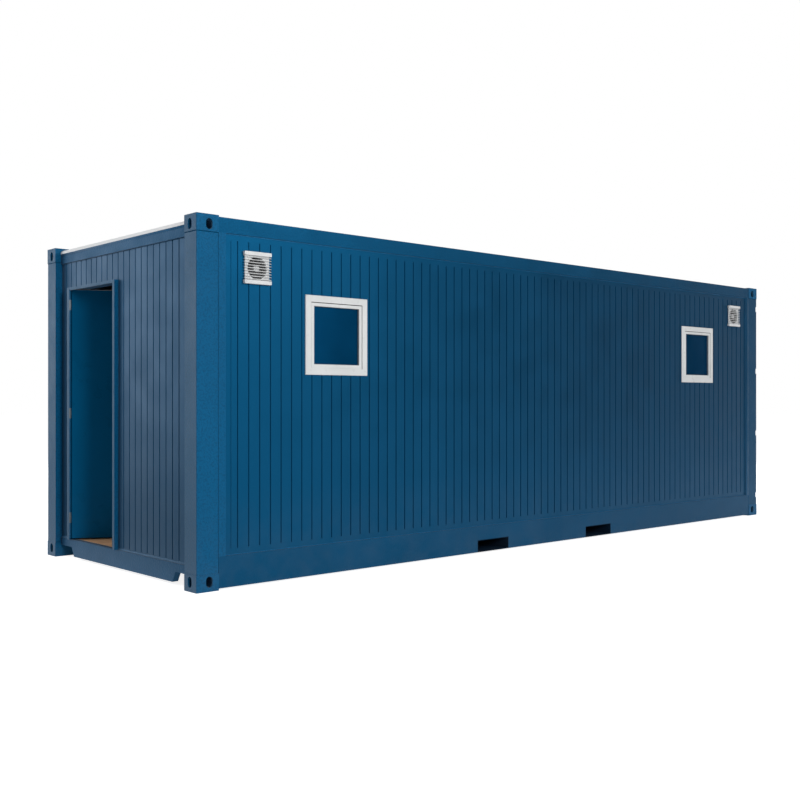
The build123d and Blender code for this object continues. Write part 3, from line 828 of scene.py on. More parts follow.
@dataclass
class EndWalls:
    """The beads and the drip strips of the two end walls."""

    bead: float = 0.004
    bead_rounding: float = 0.0018
    drip_height: float = 0.014
    drip_depth: float = 0.006
    drip_lip: float = 0.003
    drip_rounding: float = 0.0012

    def build(self) -> None:
        """Build the beads and strips of both end walls."""
        self.far_wall()
        self.door_wall()

    def drip(self, name: str, face: float, outward: float, across: Triple, foot: float) -> Piece:
        """Add a sloping strip that sheds water from the sheet onto the base rail.

        Args:
            name: The strip's name.
            face: The sheet's face.
            outward: The way that the sheet looks along X.
            across: The strip's two ends.
            foot: The rail's top.

        Returns:
            The strip.
        """
        outer = face + outward * self.drip_depth
        strip = Piece.block(name, (face, across[0], foot), (outer, across[1], foot + self.drip_height))
        strip.slide(
            lambda corner: abs(corner.x - outer) < self.drip_lip and corner.z > foot + self.drip_lip,
            (0, 0, self.drip_lip - self.drip_height),
        )
        return strip.soften(self.drip_rounding, 1)

    def far_wall(self) -> None:
        """Build the bead and the drip strip of the far end's sheet."""
        low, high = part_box("far_wall_sheet")
        bead = Piece.ring(
            "far_wall_bead",
            (high.x, low.y, low.z),
            (high.x + self.bead, high.y, high.z),
            Axis.X,
            self.bead,
        )
        bead.soften(self.bead_rounding).hand_over(SEALANT_PAINTED_HIGHLIGHT)
        self.drip("far_wall_drip_strip", high.x, 1.0, (low.y, high.y), low.z).hand_over(FRAME_PAINT)

    def door_wall(self) -> None:
        """Build the beads round the door end's sheet and its door frame, and the drip strips."""
        low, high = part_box("door_wall_sheet")
        jamb_low, jamb_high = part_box("door_frame")
        face, outer = low.x, low.x - self.bead
        inner_low, inner_high = low.y + self.bead, high.y - self.bead
        latch, hinge, head = jamb_low.y - self.bead, jamb_high.y + self.bead, jamb_high.z
        spans = {
            "bead_front_post": ((low.y, low.z), (inner_low, high.z)),
            "bead_back_post": ((inner_high, low.z), (high.y, high.z)),
            "bead_rail": ((inner_low, high.z - self.bead), (inner_high, high.z)),
            "bead_latch_jamb": ((latch, low.z), (jamb_low.y, head)),
            "bead_hinge_jamb": ((jamb_high.y, low.z), (hinge, head)),
            "bead_head": ((latch, head), (hinge, head + self.bead)),
        }
        strips = [
            Piece.block(name, (face, *first), (outer, *second)).soften(self.bead_rounding)
            for name, (first, second) in spans.items()
        ]
        Piece.join("door_wall_bead", strips).hand_over(SHADED_END_SHEET)
        drips = [
            self.drip("drip_latch_side", face, -1.0, (low.y, jamb_low.y), low.z),
            self.drip("drip_hinge_side", face, -1.0, (jamb_high.y, high.y), low.z),
        ]
        Piece.join("door_wall_drip_strips", drips).hand_over(FRAME_PAINT)


@dataclass
class CornerJoints:
    """The dark rings under the top castings, painted shadow of their overhang, and the welds of the corner posts.
    """

    height: float = 0.006
    proud: float = 0.0008
    corner_radius: float = 0.0085
    edge_radius: float = 0.0085
    seam_rounding: float = 0.00048
    groove_fill: float = 0.0025
    weld_rounding: float = 0.0015

    def build(self) -> None:
        """Build the dark ring of painted shadow under each top casting and the welds of each post."""
        shadow_seams = []
        welds = []
        for end in ("door", "far"):
            for side in ("front", "back"):
                low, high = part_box(f"corner_post_{end}_{side}")
                shadow_seams.append(self.seam(low, high, high.z - self.height))
                welds.append(self.seam(low, high, low.z))
                welds.append(self.upright(low, high))
        # The dark rings under the castings are painted shadow
        Piece.join("casting_painted_shadows", shadow_seams).hand_over(SEAM_PAINTED_SHADOW)
        Piece.join("post_welds", welds).hand_over(FRAME_PAINT)

    def upright(self, low: Vector, high: Vector) -> Piece:
        """Model the weld that fills the fold between a post and the stile beside it.

        Args:
            low: The post's lowest corner.
            high: The post's highest corner.

        Returns:
            The weld.
        """
        inner = low.x if low.x > 0 else high.x
        outer = high.y if high.y > 0 else low.y
        way_x, way_y = math.copysign(1.0, inner), math.copysign(1.0, outer)
        weld = Piece.block(
            "post_weld",
            (inner - way_x * self.proud, outer - way_y * self.edge_radius, low.z + self.height),
            (inner + way_x * self.edge_radius, outer - way_y * self.groove_fill, high.z - self.height),
        )
        return weld.soften(self.weld_rounding)

    def seam(self, low: Vector, high: Vector, level: float) -> Piece:
        """Model the joint round one end of a post.

        Args:
            low: The post's lowest corner.
            high: The post's highest corner.
            level: The joint's underside.

        Returns:
            The joint, with the post's rounded corners.
        """
        (inner_x, outer_x), (inner_y, outer_y) = (
            sorted((abs(low[axis]), abs(high[axis]))) for axis in (Axis.X, Axis.Y)
        )
        way_x, way_y = math.copysign(1.0, low.x + high.x), math.copysign(1.0, low.y + high.y)
        seam = Piece.block(
            "casting_seam",
            (way_x * inner_x, way_y * inner_y, level),
            (way_x * (outer_x + self.proud), way_y * (outer_y + self.proud), level + self.height),
        )
        for at_corner, radius in ((True, self.corner_radius), (False, self.edge_radius)):
            seam.round_edge(
                lambda start, end: abs(start.z - end.z) > self.height / 2
                and (abs(start.x) > inner_x + self.proud) == at_corner
                and abs(start.y) > inner_y + self.proud,
                radius,
            )
        return seam.soften(self.seam_rounding, 1)


@dataclass
class RoofEdges:
    """The painted fold and the white upstand along each end of the roof."""

    fold_height: float = 0.014
    fold_thickness: float = 0.0015
    fold_rounding: float = 0.0006
    upstand_height: float = 0.009
    upstand_width: float = 0.030
    upstand_setback: float = 0.0005
    upstand_rounding: float = 0.00225
    sink: float = 0.004

    def build(self) -> None:
        """Build the fold on each end's rail and the upstand on its roof cap."""
        caps_low, caps_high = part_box("roof_end_caps")
        for end, outward in (("door_end", -1.0), ("far_end", 1.0)):
            low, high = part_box(f"roof_rail_{end}")
            face = outer_face(f"roof_rail_{end}", Axis.X, outward)
            fold = Piece.block(
                f"roof_fold_{end}",
                (face, low.y, high.z - self.sink),
                (face + outward * self.fold_thickness, high.y, high.z + self.fold_height),
            )
            fold.soften(self.fold_rounding).hand_over(RAIL_PAINT)
            upstand = Piece.block(
                f"roof_upstand_{end}",
                (face - outward * self.upstand_setback, caps_low.y, caps_high.z - self.sink),
                (face - outward * self.upstand_width, caps_high.y, caps_high.z + self.upstand_height),
            )
            upstand.soften(self.upstand_rounding).hand_over(ROOF_SHEET)


@dataclass
class RoofFixings:
    """The screws that hold the roof sheet down in its valleys."""

    rib_pitch: float = 0.209
    valleys: int = 32
    rows: int = 5
    row_margin: float = 0.12
    sheet_rise: float = 0.006
    washer_radius: float = 0.010
    washer_height: float = 0.002
    head_radius: float = 0.006
    head_height: float = 0.005
    sides: int = 12

    def screw(self) -> Piece:
        """Model one screw head on its washer.

        Returns:
            The screw, standing on the origin.
        """
        screw = Piece.rod("roof_screw", (0, 0, 0), (0, 0, self.washer_height), self.washer_radius, self.sides)
        screw.inset(looks(Axis.Z, 1.0), self.washer_radius - self.head_radius)
        screw.extrude(
            lambda middle, normal: normal.z > SQUARE_ON and middle.xy.length < self.head_radius / 2,
            (0, 0, self.head_height),
        )
        return screw

    def build(self) -> None:
        """Set the screws in rows along the valleys."""
        low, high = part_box("roof_sheet")
        span = high.y - low.y - 2 * self.row_margin
        places = [
            shift(along, low.y + self.row_margin + span * row / (self.rows - 1), low.z + self.sheet_rise)
            for along in steps(self.valleys, self.rib_pitch)
            for row in range(self.rows)
        ]
        self.screw().repeat("roof_screws", places).hand_over(BARE_STEEL)


@dataclass
class Window:
    """The gaskets, joint strips, beads and inner trim of one window."""

    side: str
    gasket: float = 0.003
    gasket_depth: float = 0.016
    gasket_rounding: float = 0.0009
    joint: float = 0.003
    joint_depth: float = 0.006
    joint_setback: float = 0.0005
    joint_rounding: float = 0.0009
    rebate: float = 0.0115
    bead_width: float = 0.016
    trim_width: float = 0.045
    trim_lap: float = 0.004
    wall_lap: float = 0.015
    moulding_depth: float = 0.008
    moulding_rounding: float = 0.0032

    def build(self) -> None:
        """Build the pieces that finish the window."""
        pane_low, pane_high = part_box(f"window_pane_{self.side}")
        frame_low, frame_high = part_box(f"window_frame_{self.side}")
        light = Vector((self.rebate, 0, self.rebate))
        gasket = self.band("gasket", pane_low + light, pane_high - light, -self.gasket_depth, self.gasket)
        gasket.soften(self.gasket_rounding).hand_over(GASKET_PAINTED_SHADE)
        self.joint_strips()
        bead = self.band("glazing_bead", pane_low, pane_high, self.moulding_depth, self.bead_width)
        bead.soften(self.moulding_rounding).hand_over(WINDOW_PLASTIC)
        reach = self.trim_width - self.trim_lap - self.wall_lap
        lap = Vector((reach, 0, reach))
        low, high = frame_low - lap, frame_high + lap
        trim = self.band("inner_trim", low, high, self.moulding_depth, self.trim_width)
        trim.soften(self.moulding_rounding).hand_over(WINDOW_PLASTIC)

    def band(self, name: str, low: Vector, high: Vector, depth: float, width: float) -> Piece:
        """Model a square band on the outer or the inner face of a part of the window.

        Args:
            name: What the band is.
            low: The lowest corner of what it goes round, with that part's outer face.
            high: The highest corner, with that part's inner face.
            depth: How far the band stands into the room, or out where it is negative.
            width: How wide its bars are.

        Returns:
            The band.
        """
        face = low.y if depth < 0 else high.y
        return Piece.ring(
            f"window_{name}_{self.side}",
            (low.x, face, low.z),
            (high.x, face + depth, high.z),
            Axis.Y,
            width,
        )

    def joint_strips(self) -> None:
        """Fill the joint over the sash with a dark strip, painted shadow under the frame, and the one under it
        with a white bar, painted light of a lit joint.
        """
        low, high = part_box(f"window_sash_{self.side}")
        front, back = low.y + self.joint_setback, low.y + self.joint_depth
        # The dark strip over the sash is painted shadow; the white bar under it is painted light
        for name, level, finish in (("head_painted_shadow", high.z, SEAL_RUBBER), ("sill_painted_light", low.z, WINDOW_PLASTIC)):
            strip = Piece.block(
                f"window_{name}_{self.side}",
                (low.x, front, level - self.joint),
                (high.x, back, level + self.joint),
            )
            strip.soften(self.joint_rounding).hand_over(finish)


@dataclass
class Ventilator:
    """The slatted cover, the fan, the screws and the inner grille of one ventilator."""

    side: str
    plate_thickness: float = 0.006
    plate_inset: float = 0.011
    plate_rounding: float = 0.0012
    corner_radius: float = 0.006
    band_height: float = 0.027
    duct_radius: float = 0.080
    duct_wall: float = 0.003
    duct_rounding: float = 0.0006
    duct_sides: int = 64
    slats: int = 9
    slat_thickness: float = 0.004
    slat_fall: float = 0.005
    slat_rounding: float = 0.0008
    overrun: float = 0.010
    hub_radius: float = 0.025
    hub_dome: float = 0.004
    hub_sides: int = 32
    arms: int = 3
    arm_width: float = 0.008
    arm_rounding: float = 0.0012
    blades: int = 7
    blade_root: float = 0.022
    blade_tip: float = 0.070
    blade_chord: float = 0.064
    blade_thickness: float = 0.0022
    blade_rounding: float = 0.00077
    blade_pitch_deg: float = 16.0
    blade_setback: float = 0.030
    blade_cuts: int = 3
    root_chord_share: float = 0.72
    chord_growth: float = 0.42
    root_pitch_share: float = 1.25
    pitch_loss: float = 0.5
    screw_radius: float = 0.0055
    screw_inset: float = 0.016
    screw_sink: float = 0.002
    screw_proud: float = 0.0015
    screw_rim: float = 0.002475
    screw_dish: float = 0.0008
    screw_rounding: float = 0.0006
    screw_sides: int = 16
    inner_radius: float = 0.100
    inner_depth: float = 0.010
    inner_rounding: float = 0.0012
    inner_sides: int = 48
    inner_slots: int = 7
    slot_field: float = 0.72
    slot_reach: float = 0.080
    slot_share: float = 0.28

    def __post_init__(self) -> None:
        """Take the ventilator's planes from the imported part."""
        self.low, self.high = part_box(f"ventilator_grille_{self.side}")
        low, high = self.low, self.high
        self.middle = Vector(((low.x + high.x) / 2, 0.0, (low.z + high.z) / 2))
        self.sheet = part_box("front_wall_sheet")[0].y
        self.plate = self.sheet - self.plate_thickness
        self.motor_front, self.motor_back = (corner.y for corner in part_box(f"ventilator_motor_{self.side}"))

    def build(self) -> None:
        """Build the fan and its covers."""
        self.cover()
        self.motor()
        self.fan()
        self.screws()
        self.inner_grille()

    def at(self, level: float) -> Vector:
        """Return the duct's middle at one level through the wall."""
        return Vector((self.middle.x, level, self.middle.z))

    def cover(self) -> None:
        """Build the slatted cover with its duct, in place of the plain one."""
        pieces = [self.housing(), self.duct(), self.louvres()]
        cover = Piece.join(f"ventilator_cover_{self.side}", pieces)
        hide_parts(f"ventilator_grille_{self.side}")
        cover.hand_over(VENT_PLASTIC)

    def housing(self) -> Piece:
        """Model the plate with its two bands and its round opening.

        Returns:
            The housing.
        """
        low, high = self.low, self.high
        housing = Piece.block("vent_housing", low, (high.x, self.sheet, high.z))
        housing.round_edge(lambda start, end: abs(start.y - end.y) > self.plate_thickness, self.corner_radius)
        left, right = low.x - self.overrun, high.x + self.overrun
        before, behind = self.plate - self.overrun, self.sheet + self.overrun
        plans = (
            ((left, low.y - self.overrun), (right, self.plate)),
            ((left, before), (low.x + self.plate_inset, behind)),
            ((high.x - self.plate_inset, before), (right, behind)),
        )
        foot, top = low.z + self.band_height, high.z - self.band_height
        for first, second in plans:
            housing.cut(Piece.block("vent_cutter", (*first, foot), (*second, top)))
        start, end = self.at(low.y - self.overrun), self.at(behind)
        housing.cut(Piece.rod("vent_opening", start, end, self.duct_radius, self.duct_sides))
        return housing.soften(self.plate_rounding, 1)

    def duct(self) -> Piece:
        """Model the tube through the wall.

        Returns:
            The tube.
        """
        start, end = self.at(self.sheet), self.at(self.high.y)
        tube = Piece.rod("vent_duct", start, end, self.duct_radius + self.duct_wall, self.duct_sides)
        start, end = self.at(self.sheet - self.overrun), self.at(self.high.y + self.overrun)
        tube.cut(Piece.rod("vent_bore", start, end, self.duct_radius, self.duct_sides))
        return tube.soften(self.duct_rounding, 1)

    def louvres(self) -> Piece:
        """Model the thin slats that fall a little outwards.

        Returns:
            The joined slats.
        """
        low, high = self.low, self.high
        half = self.slat_thickness / 2
        slat = Piece.block(
            "vent_slat",
            (low.x + half, low.y + half, -half),
            (high.x - half, self.plate + half, half),
        )
        slat.slide(lambda corner: corner.y < low.y + self.slat_thickness, (0, 0, -self.slat_fall))
        slat.soften(self.slat_rounding, 1)
        pitch = (high.z - low.z - 2 * self.band_height) / self.slats
        middle = self.middle.z + self.slat_fall / 2
        return slat.repeat("vent_slats", [shift(up=middle + step) for step in steps(self.slats, pitch)])

    def motor(self) -> None:
        """Build the motor's pale hub and the dark arms that hold it in the duct."""
        front = self.at(self.motor_front)
        hub = Piece.rod(
            f"ventilator_hub_{self.side}", front, self.at(self.motor_back), self.hub_radius, self.hub_sides
        )
        hub.soften(self.hub_dome, 3)
        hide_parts(f"ventilator_motor_{self.side}")
        hub.hand_over(VENT_PLASTIC)
        half = self.arm_width / 2
        arm = Piece.block(
            "motor_arm",
            (self.hub_radius - half, self.hub_dome, -half),
            (self.duct_radius + self.duct_wall / 2, self.hub_dome + self.arm_width, half),
        )
        arm.soften(self.arm_rounding, 1)
        arm.repeat(f"ventilator_arms_{self.side}", spokes(front, self.arms)).hand_over(FAN_PLASTIC)

    def fan(self) -> None:
        """Build the fan wheel round the motor, from one twisted blade that widens to its tip."""
        half = self.blade_chord / 2
        blade = Piece.block(
            "fan_blade",
            (self.blade_root, -self.blade_thickness / 2, -half),
            (self.blade_tip, self.blade_thickness / 2, half),
        )
        with blade.editing(Pick.FACES, lambda centre, normal: True):
            bpy.ops.mesh.subdivide(number_cuts=self.blade_cuts)
        for vertex in blade.item.data.vertices:
            share = (vertex.co.x - self.blade_root) / (self.blade_tip - self.blade_root)
            vertex.co.z *= self.root_chord_share + self.chord_growth * share
            pitch = self.blade_pitch_deg * (self.root_pitch_share - self.pitch_loss * share)
            vertex.co = Matrix.Rotation(math.radians(pitch), 3, "X") @ vertex.co
        blade.soften(self.blade_rounding, 1)
        places = spokes(self.at(self.motor_front + self.blade_setback), self.blades)
        blade.repeat(f"ventilator_fan_{self.side}", places).hand_over(FAN_PLASTIC)

    def screws(self) -> None:
        """Set a screw in each corner of the cover."""
        ends = ((0, self.screw_sink, 0), (0, -self.screw_proud, 0))
        head = Piece.rod("vent_screw", *ends, self.screw_radius, self.screw_sides)
        head.inset(looks(Axis.Y, -1.0), self.screw_rim, -self.screw_dish)
        head.soften(self.screw_rounding, 1)
        places = [
            shift(along, self.low.y, up)
            for along in (self.low.x + self.screw_inset, self.high.x - self.screw_inset)
            for up in (self.low.z + self.screw_inset, self.high.z - self.screw_inset)
        ]
        head.repeat(f"ventilator_screws_{self.side}", places).hand_over(VENT_PLASTIC)

    def inner_grille(self) -> None:
        """Build the round grille on the room side."""
        face, middle = self.high.y, self.middle
        name = f"ventilator_inner_grille_{self.side}"
        start, end = self.at(face), self.at(face + self.inner_depth)
        cover = Piece.rod(name, start, end, self.inner_radius, self.inner_sides)
        pitch = 2 * self.inner_radius * self.slot_field / self.inner_slots
        for step in steps(self.inner_slots, pitch):
            half = math.sqrt(self.slot_reach**2 - step**2)
            level = middle.z + step
            slot = Piece.block(
                "inner_slot",
                (middle.x - half, face - self.overrun, level - pitch * self.slot_share),
                (middle.x + half, face + self.inner_depth * 2, level + pitch * self.slot_share),
            )
            cover.cut(slot)
        cover.soften(self.inner_rounding, 1).hand_over(VENT_PLASTIC)


@dataclass
class Room:
    """The skirting along the inside walls."""

    height: float = 0.07
    depth: float = 0.012
    rounding: float = 0.0042
    door_gap: float = 0.004

    def build(self) -> None:
        """Build the skirting round the room."""
        deck_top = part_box("floor_deck")[1].z
        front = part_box("front_wall_core")[1].y
        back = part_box("back_wall_core")[0].y
        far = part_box("far_wall_core")[0].x
        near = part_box("door_wall_core_latch_side")[1].x
        jamb_low, jamb_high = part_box("door_frame")
        inner_front, inner_back, inner_near = front + self.depth, back - self.depth, near + self.depth
        plans = {
            "skirting_front": ((near, front), (far, inner_front)),
            "skirting_back": ((near, inner_back), (far, back)),
            "skirting_far": ((far - self.depth, inner_front), (far, inner_back)),
            "skirting_latch": ((near, inner_front), (inner_near, jamb_low.y - self.door_gap)),
            "skirting_hinge": ((near, jamb_high.y + self.door_gap), (inner_near, inner_back)),
        }
        boards = [
            Piece.block(name, (*first, deck_top), (*second, deck_top + self.height)).soften(self.rounding)
            for name, (first, second) in plans.items()
        ]
        Piece.join("skirting", boards).hand_over(LINING)


@dataclass
class EntranceDoor:
    """The seal, the hinge cover and pins, the cap, the lock, the strike and the levers of the entrance door.

    The corners of the strike and the lock are measured from the middle of the jamb's or the leaf's
    edge, at the handle's level. The lever's runs and the key slot are measured outwards first.
    """

    flange: float = 0.003
    latch_flange: float = 0.034
    hinge_flange: float = 0.042
    head_flange: float = 0.024
    stop_gap: float = 0.005
    leaf_thickness: float = 0.038
    latch_lap: float = 0.011
    head_lap: float = 0.010
    hinge_gap: float = 0.011
    seal_depth: float = 0.0038
    seal_margin: float = 0.0015
    seal_foot: float = 0.004
    seal_rounding: float = 0.00152
    tube_radius: float = 0.0075
    tube_sides: int = 20
    tube_foot: float = 0.012
    tube_gap: float = 0.001
    tube_rounding: float = 0.001
    fin_root: float = 0.006
    fin_half: float = 0.001
    fin_reach: float = 0.012
    fin_rounding: float = 0.0005
    pin_radius: float = 0.0058
    pin_sink: float = 0.002
    pin_rise: float = 0.0009
    hinge_height: float = 0.086
    handle_level: float = 1.050
    handle_from_edge: float = 0.060
    strike_setback: float = 0.016
    strike_plate: Corners = ((-0.013, -0.001, -0.105), (0.013, 0.0015, 0.075))
    strike_holes: tuple[Corners, ...] = (
        ((-0.007, -0.02, -0.090), (0.007, 0.02, -0.045)),
        ((-0.007, -0.02, -0.012), (0.007, 0.02, 0.022)),
    )
    lock_forend: Corners = ((-0.011, -0.0012, -0.13), (0.011, 0.002, 0.09))
    lock_latch: Corners = ((-0.005, -0.0045, -0.007), (0.005, 0.002, 0.017))
    forend_rounding: float = 0.0005
    small_rounding: float = 0.0006
    plate_width: float = 0.042
    plate_drop: float = 0.1452
    plate_rise: float = 0.0748
    plate_thickness: float = 0.006
    plate_rim: float = 0.005
    plate_lift: float = 0.0008
    plate_rounding: float = 0.0016
    neck_radius: float = 0.008
    neck_rounding: float = 0.001
    lever_reach: float = 0.026
    lever_tail: float = 0.0096
    lever_root: float = 0.03
    lever_runs: tuple[Triple, ...] = ((0.0, 0.068, -0.002), (-0.006, 0.018, -0.003))
    lever_height: float = 0.017
    lever_thickness: float = 0.011
    lever_rounding: float = 0.0036
    key_drop: float = 0.072
    key_radius: float = 0.0086
    key_sides: int = 28
    key_proud: float = 0.003
    key_slot: Triple = (0.03, 0.0012, 0.0055)
    cap_height: float = 0.004
    cap_thickness: float = 0.0008
    cap_inset: float = 0.003
    cap_rounding: float = 0.00064

    def __post_init__(self) -> None:
        """Take the door's planes, and the turn from the shut door to rest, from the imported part."""
        joint = frame["joints"][0]
        self.pivot = Vector(joint["pos_m"])
        swing = Matrix.Rotation(-math.radians(joint["range_deg"][0]), 4, "Z")
        self.swung = Matrix.Translation(self.pivot) @ swing @ Matrix.Translation(-self.pivot)
        self.low, self.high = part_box("door_frame")
        self.front = self.low.x
        self.leaf_front = self.front + self.flange + self.stop_gap
        self.leaf_back = self.leaf_front + self.leaf_thickness
        self.leaf_middle = (self.leaf_front + self.leaf_back) / 2
        self.clear_latch = self.low.y + self.latch_flange
        self.clear_hinge = self.high.y - self.hinge_flange
        self.clear_top = self.high.z - self.head_flange
        self.leaf_latch = self.clear_latch - self.latch_lap
        self.leaf_hinge = self.pivot.y - self.hinge_gap
        self.leaf_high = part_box("door_leaf")[1].z

    def build(self) -> None:
        """Build the door's fixed and moving pieces."""
        self.stop_seal()
        self.hinge_cover()
        self.strike()
        self.leaf_cap()
        self.lock()
        self.levers()
        self.hinge_caps()

    def fitting(self, name: str, across: float, corners: Corners) -> Piece:
        """Add a box at the middle of the shut leaf's edge and at the handle's level.

        Args:
            name: The box's name.
            across: The edge that its corners are measured from, along Y.
            corners: Its two opposite corners.

        Returns:
            The box.
        """
        edge = Vector((self.leaf_middle, across, self.handle_level))
        return Piece.block(name, *(edge + Vector(corner) for corner in corners))

    def stop_seal(self) -> None:
        """Build the rubber that the leaf shuts against, behind the frame's flange."""
        back = self.front + self.flange
        face = back + self.seal_depth
        margin = self.seal_margin
        turn, top = self.clear_latch - margin, self.clear_top + self.head_lap - margin
        foot = self.low.z + self.seal_foot
        strips = [
            Piece.block("seal_latch", (back, self.leaf_latch + margin, foot), (face, turn, top)),
            Piece.block("seal_head", (back, turn, self.clear_top + margin), (face, self.leaf_hinge, top)),
        ]
        for strip in strips:
            strip.soften(self.seal_rounding)
        Piece.join("door_stop_seal", strips).hand_over(SEAL_RUBBER)

    def pin(self, name: str, start: float, end: float, radius: float) -> Piece:
        """Return a round bar on the hinge line, between two levels."""
        foot, top = (Vector((*self.pivot.xy, level)) for level in (start, end))
        return Piece.rod(name, foot, top, radius, self.tube_sides)

    def hinge_cover(self) -> None:
        """Build the cover that fills the hinge gap between the knuckles."""
        levels = [self.low.z + self.tube_foot]
        for hinge_low, hinge_high in self.hinge_spans():
            levels += [hinge_low - self.tube_gap, hinge_high + self.tube_gap]
        levels.append(self.clear_top + self.head_lap)
        tubes = []
        for start, end in zip(levels[0::2], levels[1::2]):
            tube = self.pin("hinge_tube", start, end, self.tube_radius)
            fin = Piece.block(
                "hinge_fin",
                (self.pivot.x - self.fin_half, self.pivot.y + self.fin_root, start),
                (self.pivot.x + self.fin_half, self.clear_hinge + self.fin_reach, end),
            )
            tubes += [tube.soften(self.tube_rounding, 1), fin.soften(self.fin_rounding, 1)]
        Piece.join("door_hinge_cover", tubes).hand_over(FRAME_PAINT)

    def hinge_spans(self) -> list[tuple[float, float]]:
        """Find the hinges.

        Returns:
            The lowest and highest level of each hinge, from the floor up.
        """
        mesh = frame["nodes"]["door_hinge_plates"].data
        levels = sorted({round(vertex.co.z, 4) for vertex in mesh.vertices})
        spans = []
        start = levels[0]
        for previous, level in zip(levels, levels[1:]):
            if level - previous > self.hinge_height:
                spans.append((start, previous))
                start = level
        spans.append((start, levels[-1]))
        return spans

    def strike(self) -> None:
        """Build the strike plate in the latch jamb."""
        face = self.low.y + self.strike_setback
        plate = self.fitting("door_strike_plate", face, self.strike_plate)
        for hole in self.strike_holes:
            plate.cut(self.fitting("strike_hole", face, hole))
        plate.soften(self.small_rounding, 1).hand_over(BARE_STEEL)

    def leaf_cap(self) -> None:
        """Build the folded metal cap on the top edge of the leaf."""
        thickness, inset = self.cap_thickness, self.cap_inset
        cap = Piece.block(
            "door_leaf_cap",
            (self.leaf_front - thickness, self.leaf_latch + inset, self.leaf_high - self.cap_height),
            (self.leaf_back + thickness, self.leaf_hinge - inset, self.leaf_high + thickness),
        )
        cap.soften(self.cap_rounding, 1).turn(self.swung).hand_over(BARE_STEEL, Body.DOOR)

    def lock(self) -> None:
        """Build the lock's forend and latch in the edge of the leaf."""
        forend = self.fitting("lock_forend", self.leaf_latch, self.lock_forend)
        latch = self.fitting("lock_latch", self.leaf_latch, self.lock_latch)
        parts = [forend.soften(self.forend_rounding, 1), latch.soften(self.plate_rounding)]
        Piece.join("door_lock", parts).turn(self.swung).hand_over(BARE_STEEL, Body.DOOR)

    def lever(self, face: float, outward: float) -> list[Piece]:
        """Model the plate, the lever and the keyhole on one face of the shut leaf.

        Args:
            face: The leaf's face.
            outward: The way that the face looks along X.

        Returns:
            The pieces of one side.
        """

        def at(out: float, along: float, up: float) -> Triple:
            """Return a point measured from the lever's axis on the leaf's face."""
            across = self.leaf_latch + self.handle_from_edge + along
            return (face + outward * out, across, self.handle_level + up)

        half, thickness = self.plate_width / 2, self.plate_thickness
        foot, top = at(0, -half, -self.plate_drop), at(thickness, half, self.plate_rise)
        plate = Piece.block("handle_plate", foot, top)
        plate.inset(looks(Axis.X, outward), self.plate_rim, self.plate_lift)
        plate.soften(self.plate_rounding)
        neck = Piece.rod("handle_neck", at(thickness / 2, 0, 0), at(self.lever_reach, 0, 0), self.neck_radius)
        neck.soften(self.neck_rounding)
        deep, high = self.lever_thickness / 2, self.lever_height / 2
        lever = Piece.block(
            "handle_lever",
            at(self.lever_reach - deep, -self.lever_tail, -high),
            at(self.lever_reach + deep, self.lever_root, high),
        )
        for out, along, up in self.lever_runs:
            lever.extrude(looks(Axis.Y, 1.0), (outward * out, along, up))
        lever.soften(self.lever_rounding, 3)
        end = at(thickness + self.key_proud, 0, -self.key_drop)
        key = Piece.rod("lock_cylinder", at(0, 0, -self.key_drop), end, self.key_radius, self.key_sides)
        depth, wide, tall = self.key_slot
        slot = Piece.block(
            "key_slot",
            at(thickness, -wide, -self.key_drop - tall),
            at(depth, wide, -self.key_drop + tall),
        )
        return [plate, neck, lever, key.cut(slot).soften(self.small_rounding, 1)]

    def levers(self) -> None:
        """Build the lever set on both faces of the leaf."""
        sides = self.lever(self.leaf_front, -1.0) + self.lever(self.leaf_back, 1.0)
        joined = Piece.join("door_lever_set", sides).turn(self.swung)
        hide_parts("door_handle")
        joined.hand_over(BARE_STEEL, Body.DOOR)

    def hinge_caps(self) -> None:
        """Build the domed ends of the hinge pins."""
        caps = []
        for span in self.hinge_spans():
            for level, way in zip(span, (-1.0, 1.0)):
                start, end = level - way * self.pin_sink, level + way * self.pin_rise
                cap = self.pin("hinge_pin_cap", start, end, self.pin_radius)
                caps.append(cap.soften(self.small_rounding))
        Piece.join("door_hinge_pins", caps).hand_over(HINGE_STEEL)


# Stage, light and camera


@dataclass(frozen=True)
class Lamp:
    """One soft lamp of the studio."""

    name: str
    place: Triple
    aim: Triple
    size: float
    watts: float
    mirrored: bool = False

    def build(self) -> None:
        """Hang the lamp and turn it to its aim."""
        light = bpy.data.lights.new(self.name, "AREA")
        light.shape = "DISK"
        light.size = self.size
        light.energy = self.watts
        lamp = bpy.data.objects.new(self.name, light)
        lamp.location = self.place
        lamp.rotation_euler = (Vector(self.aim) - Vector(self.place)).to_track_quat("-Z", "Y").to_euler()
        lamp.visible_camera = False
        lamp.visible_glossy = self.mirrored
        bpy.context.scene.collection.objects.link(lamp)
        LOG.info("%s hangs at %s", self.name, self.place)


@dataclass(frozen=True)
class Flag:
    """One dark card of the studio, which shows only in the cabin's own sheen."""

    name: str
    place: Triple
    size: Triple
    turn_deg: Triple
    colour: Colour = (0.02, 0.02, 0.02)

    def build(self) -> None:
        """Set the card up and hide it from all but the glossy rays."""
        Piece.clear()
        turn = [math.radians(angle) for angle in self.turn_deg]
        bpy.ops.mesh.primitive_plane_add(size=1.0, location=self.place, rotation=turn)
        bpy.context.object.scale = (*self.size, 1.0)
        card = Piece.settle(self.name).item
        material = bpy.data.materials.new(self.name)
        board = NodeBoard(material)
        board.feed(board.tree.nodes["Principled BSDF"], {"Base Color": self.colour, "Roughness": 1.0})
        card.data.materials.append(material)
        card.visible_camera = False
        card.visible_diffuse = False
        card.visible_shadow = False
        card.visible_transmission = False


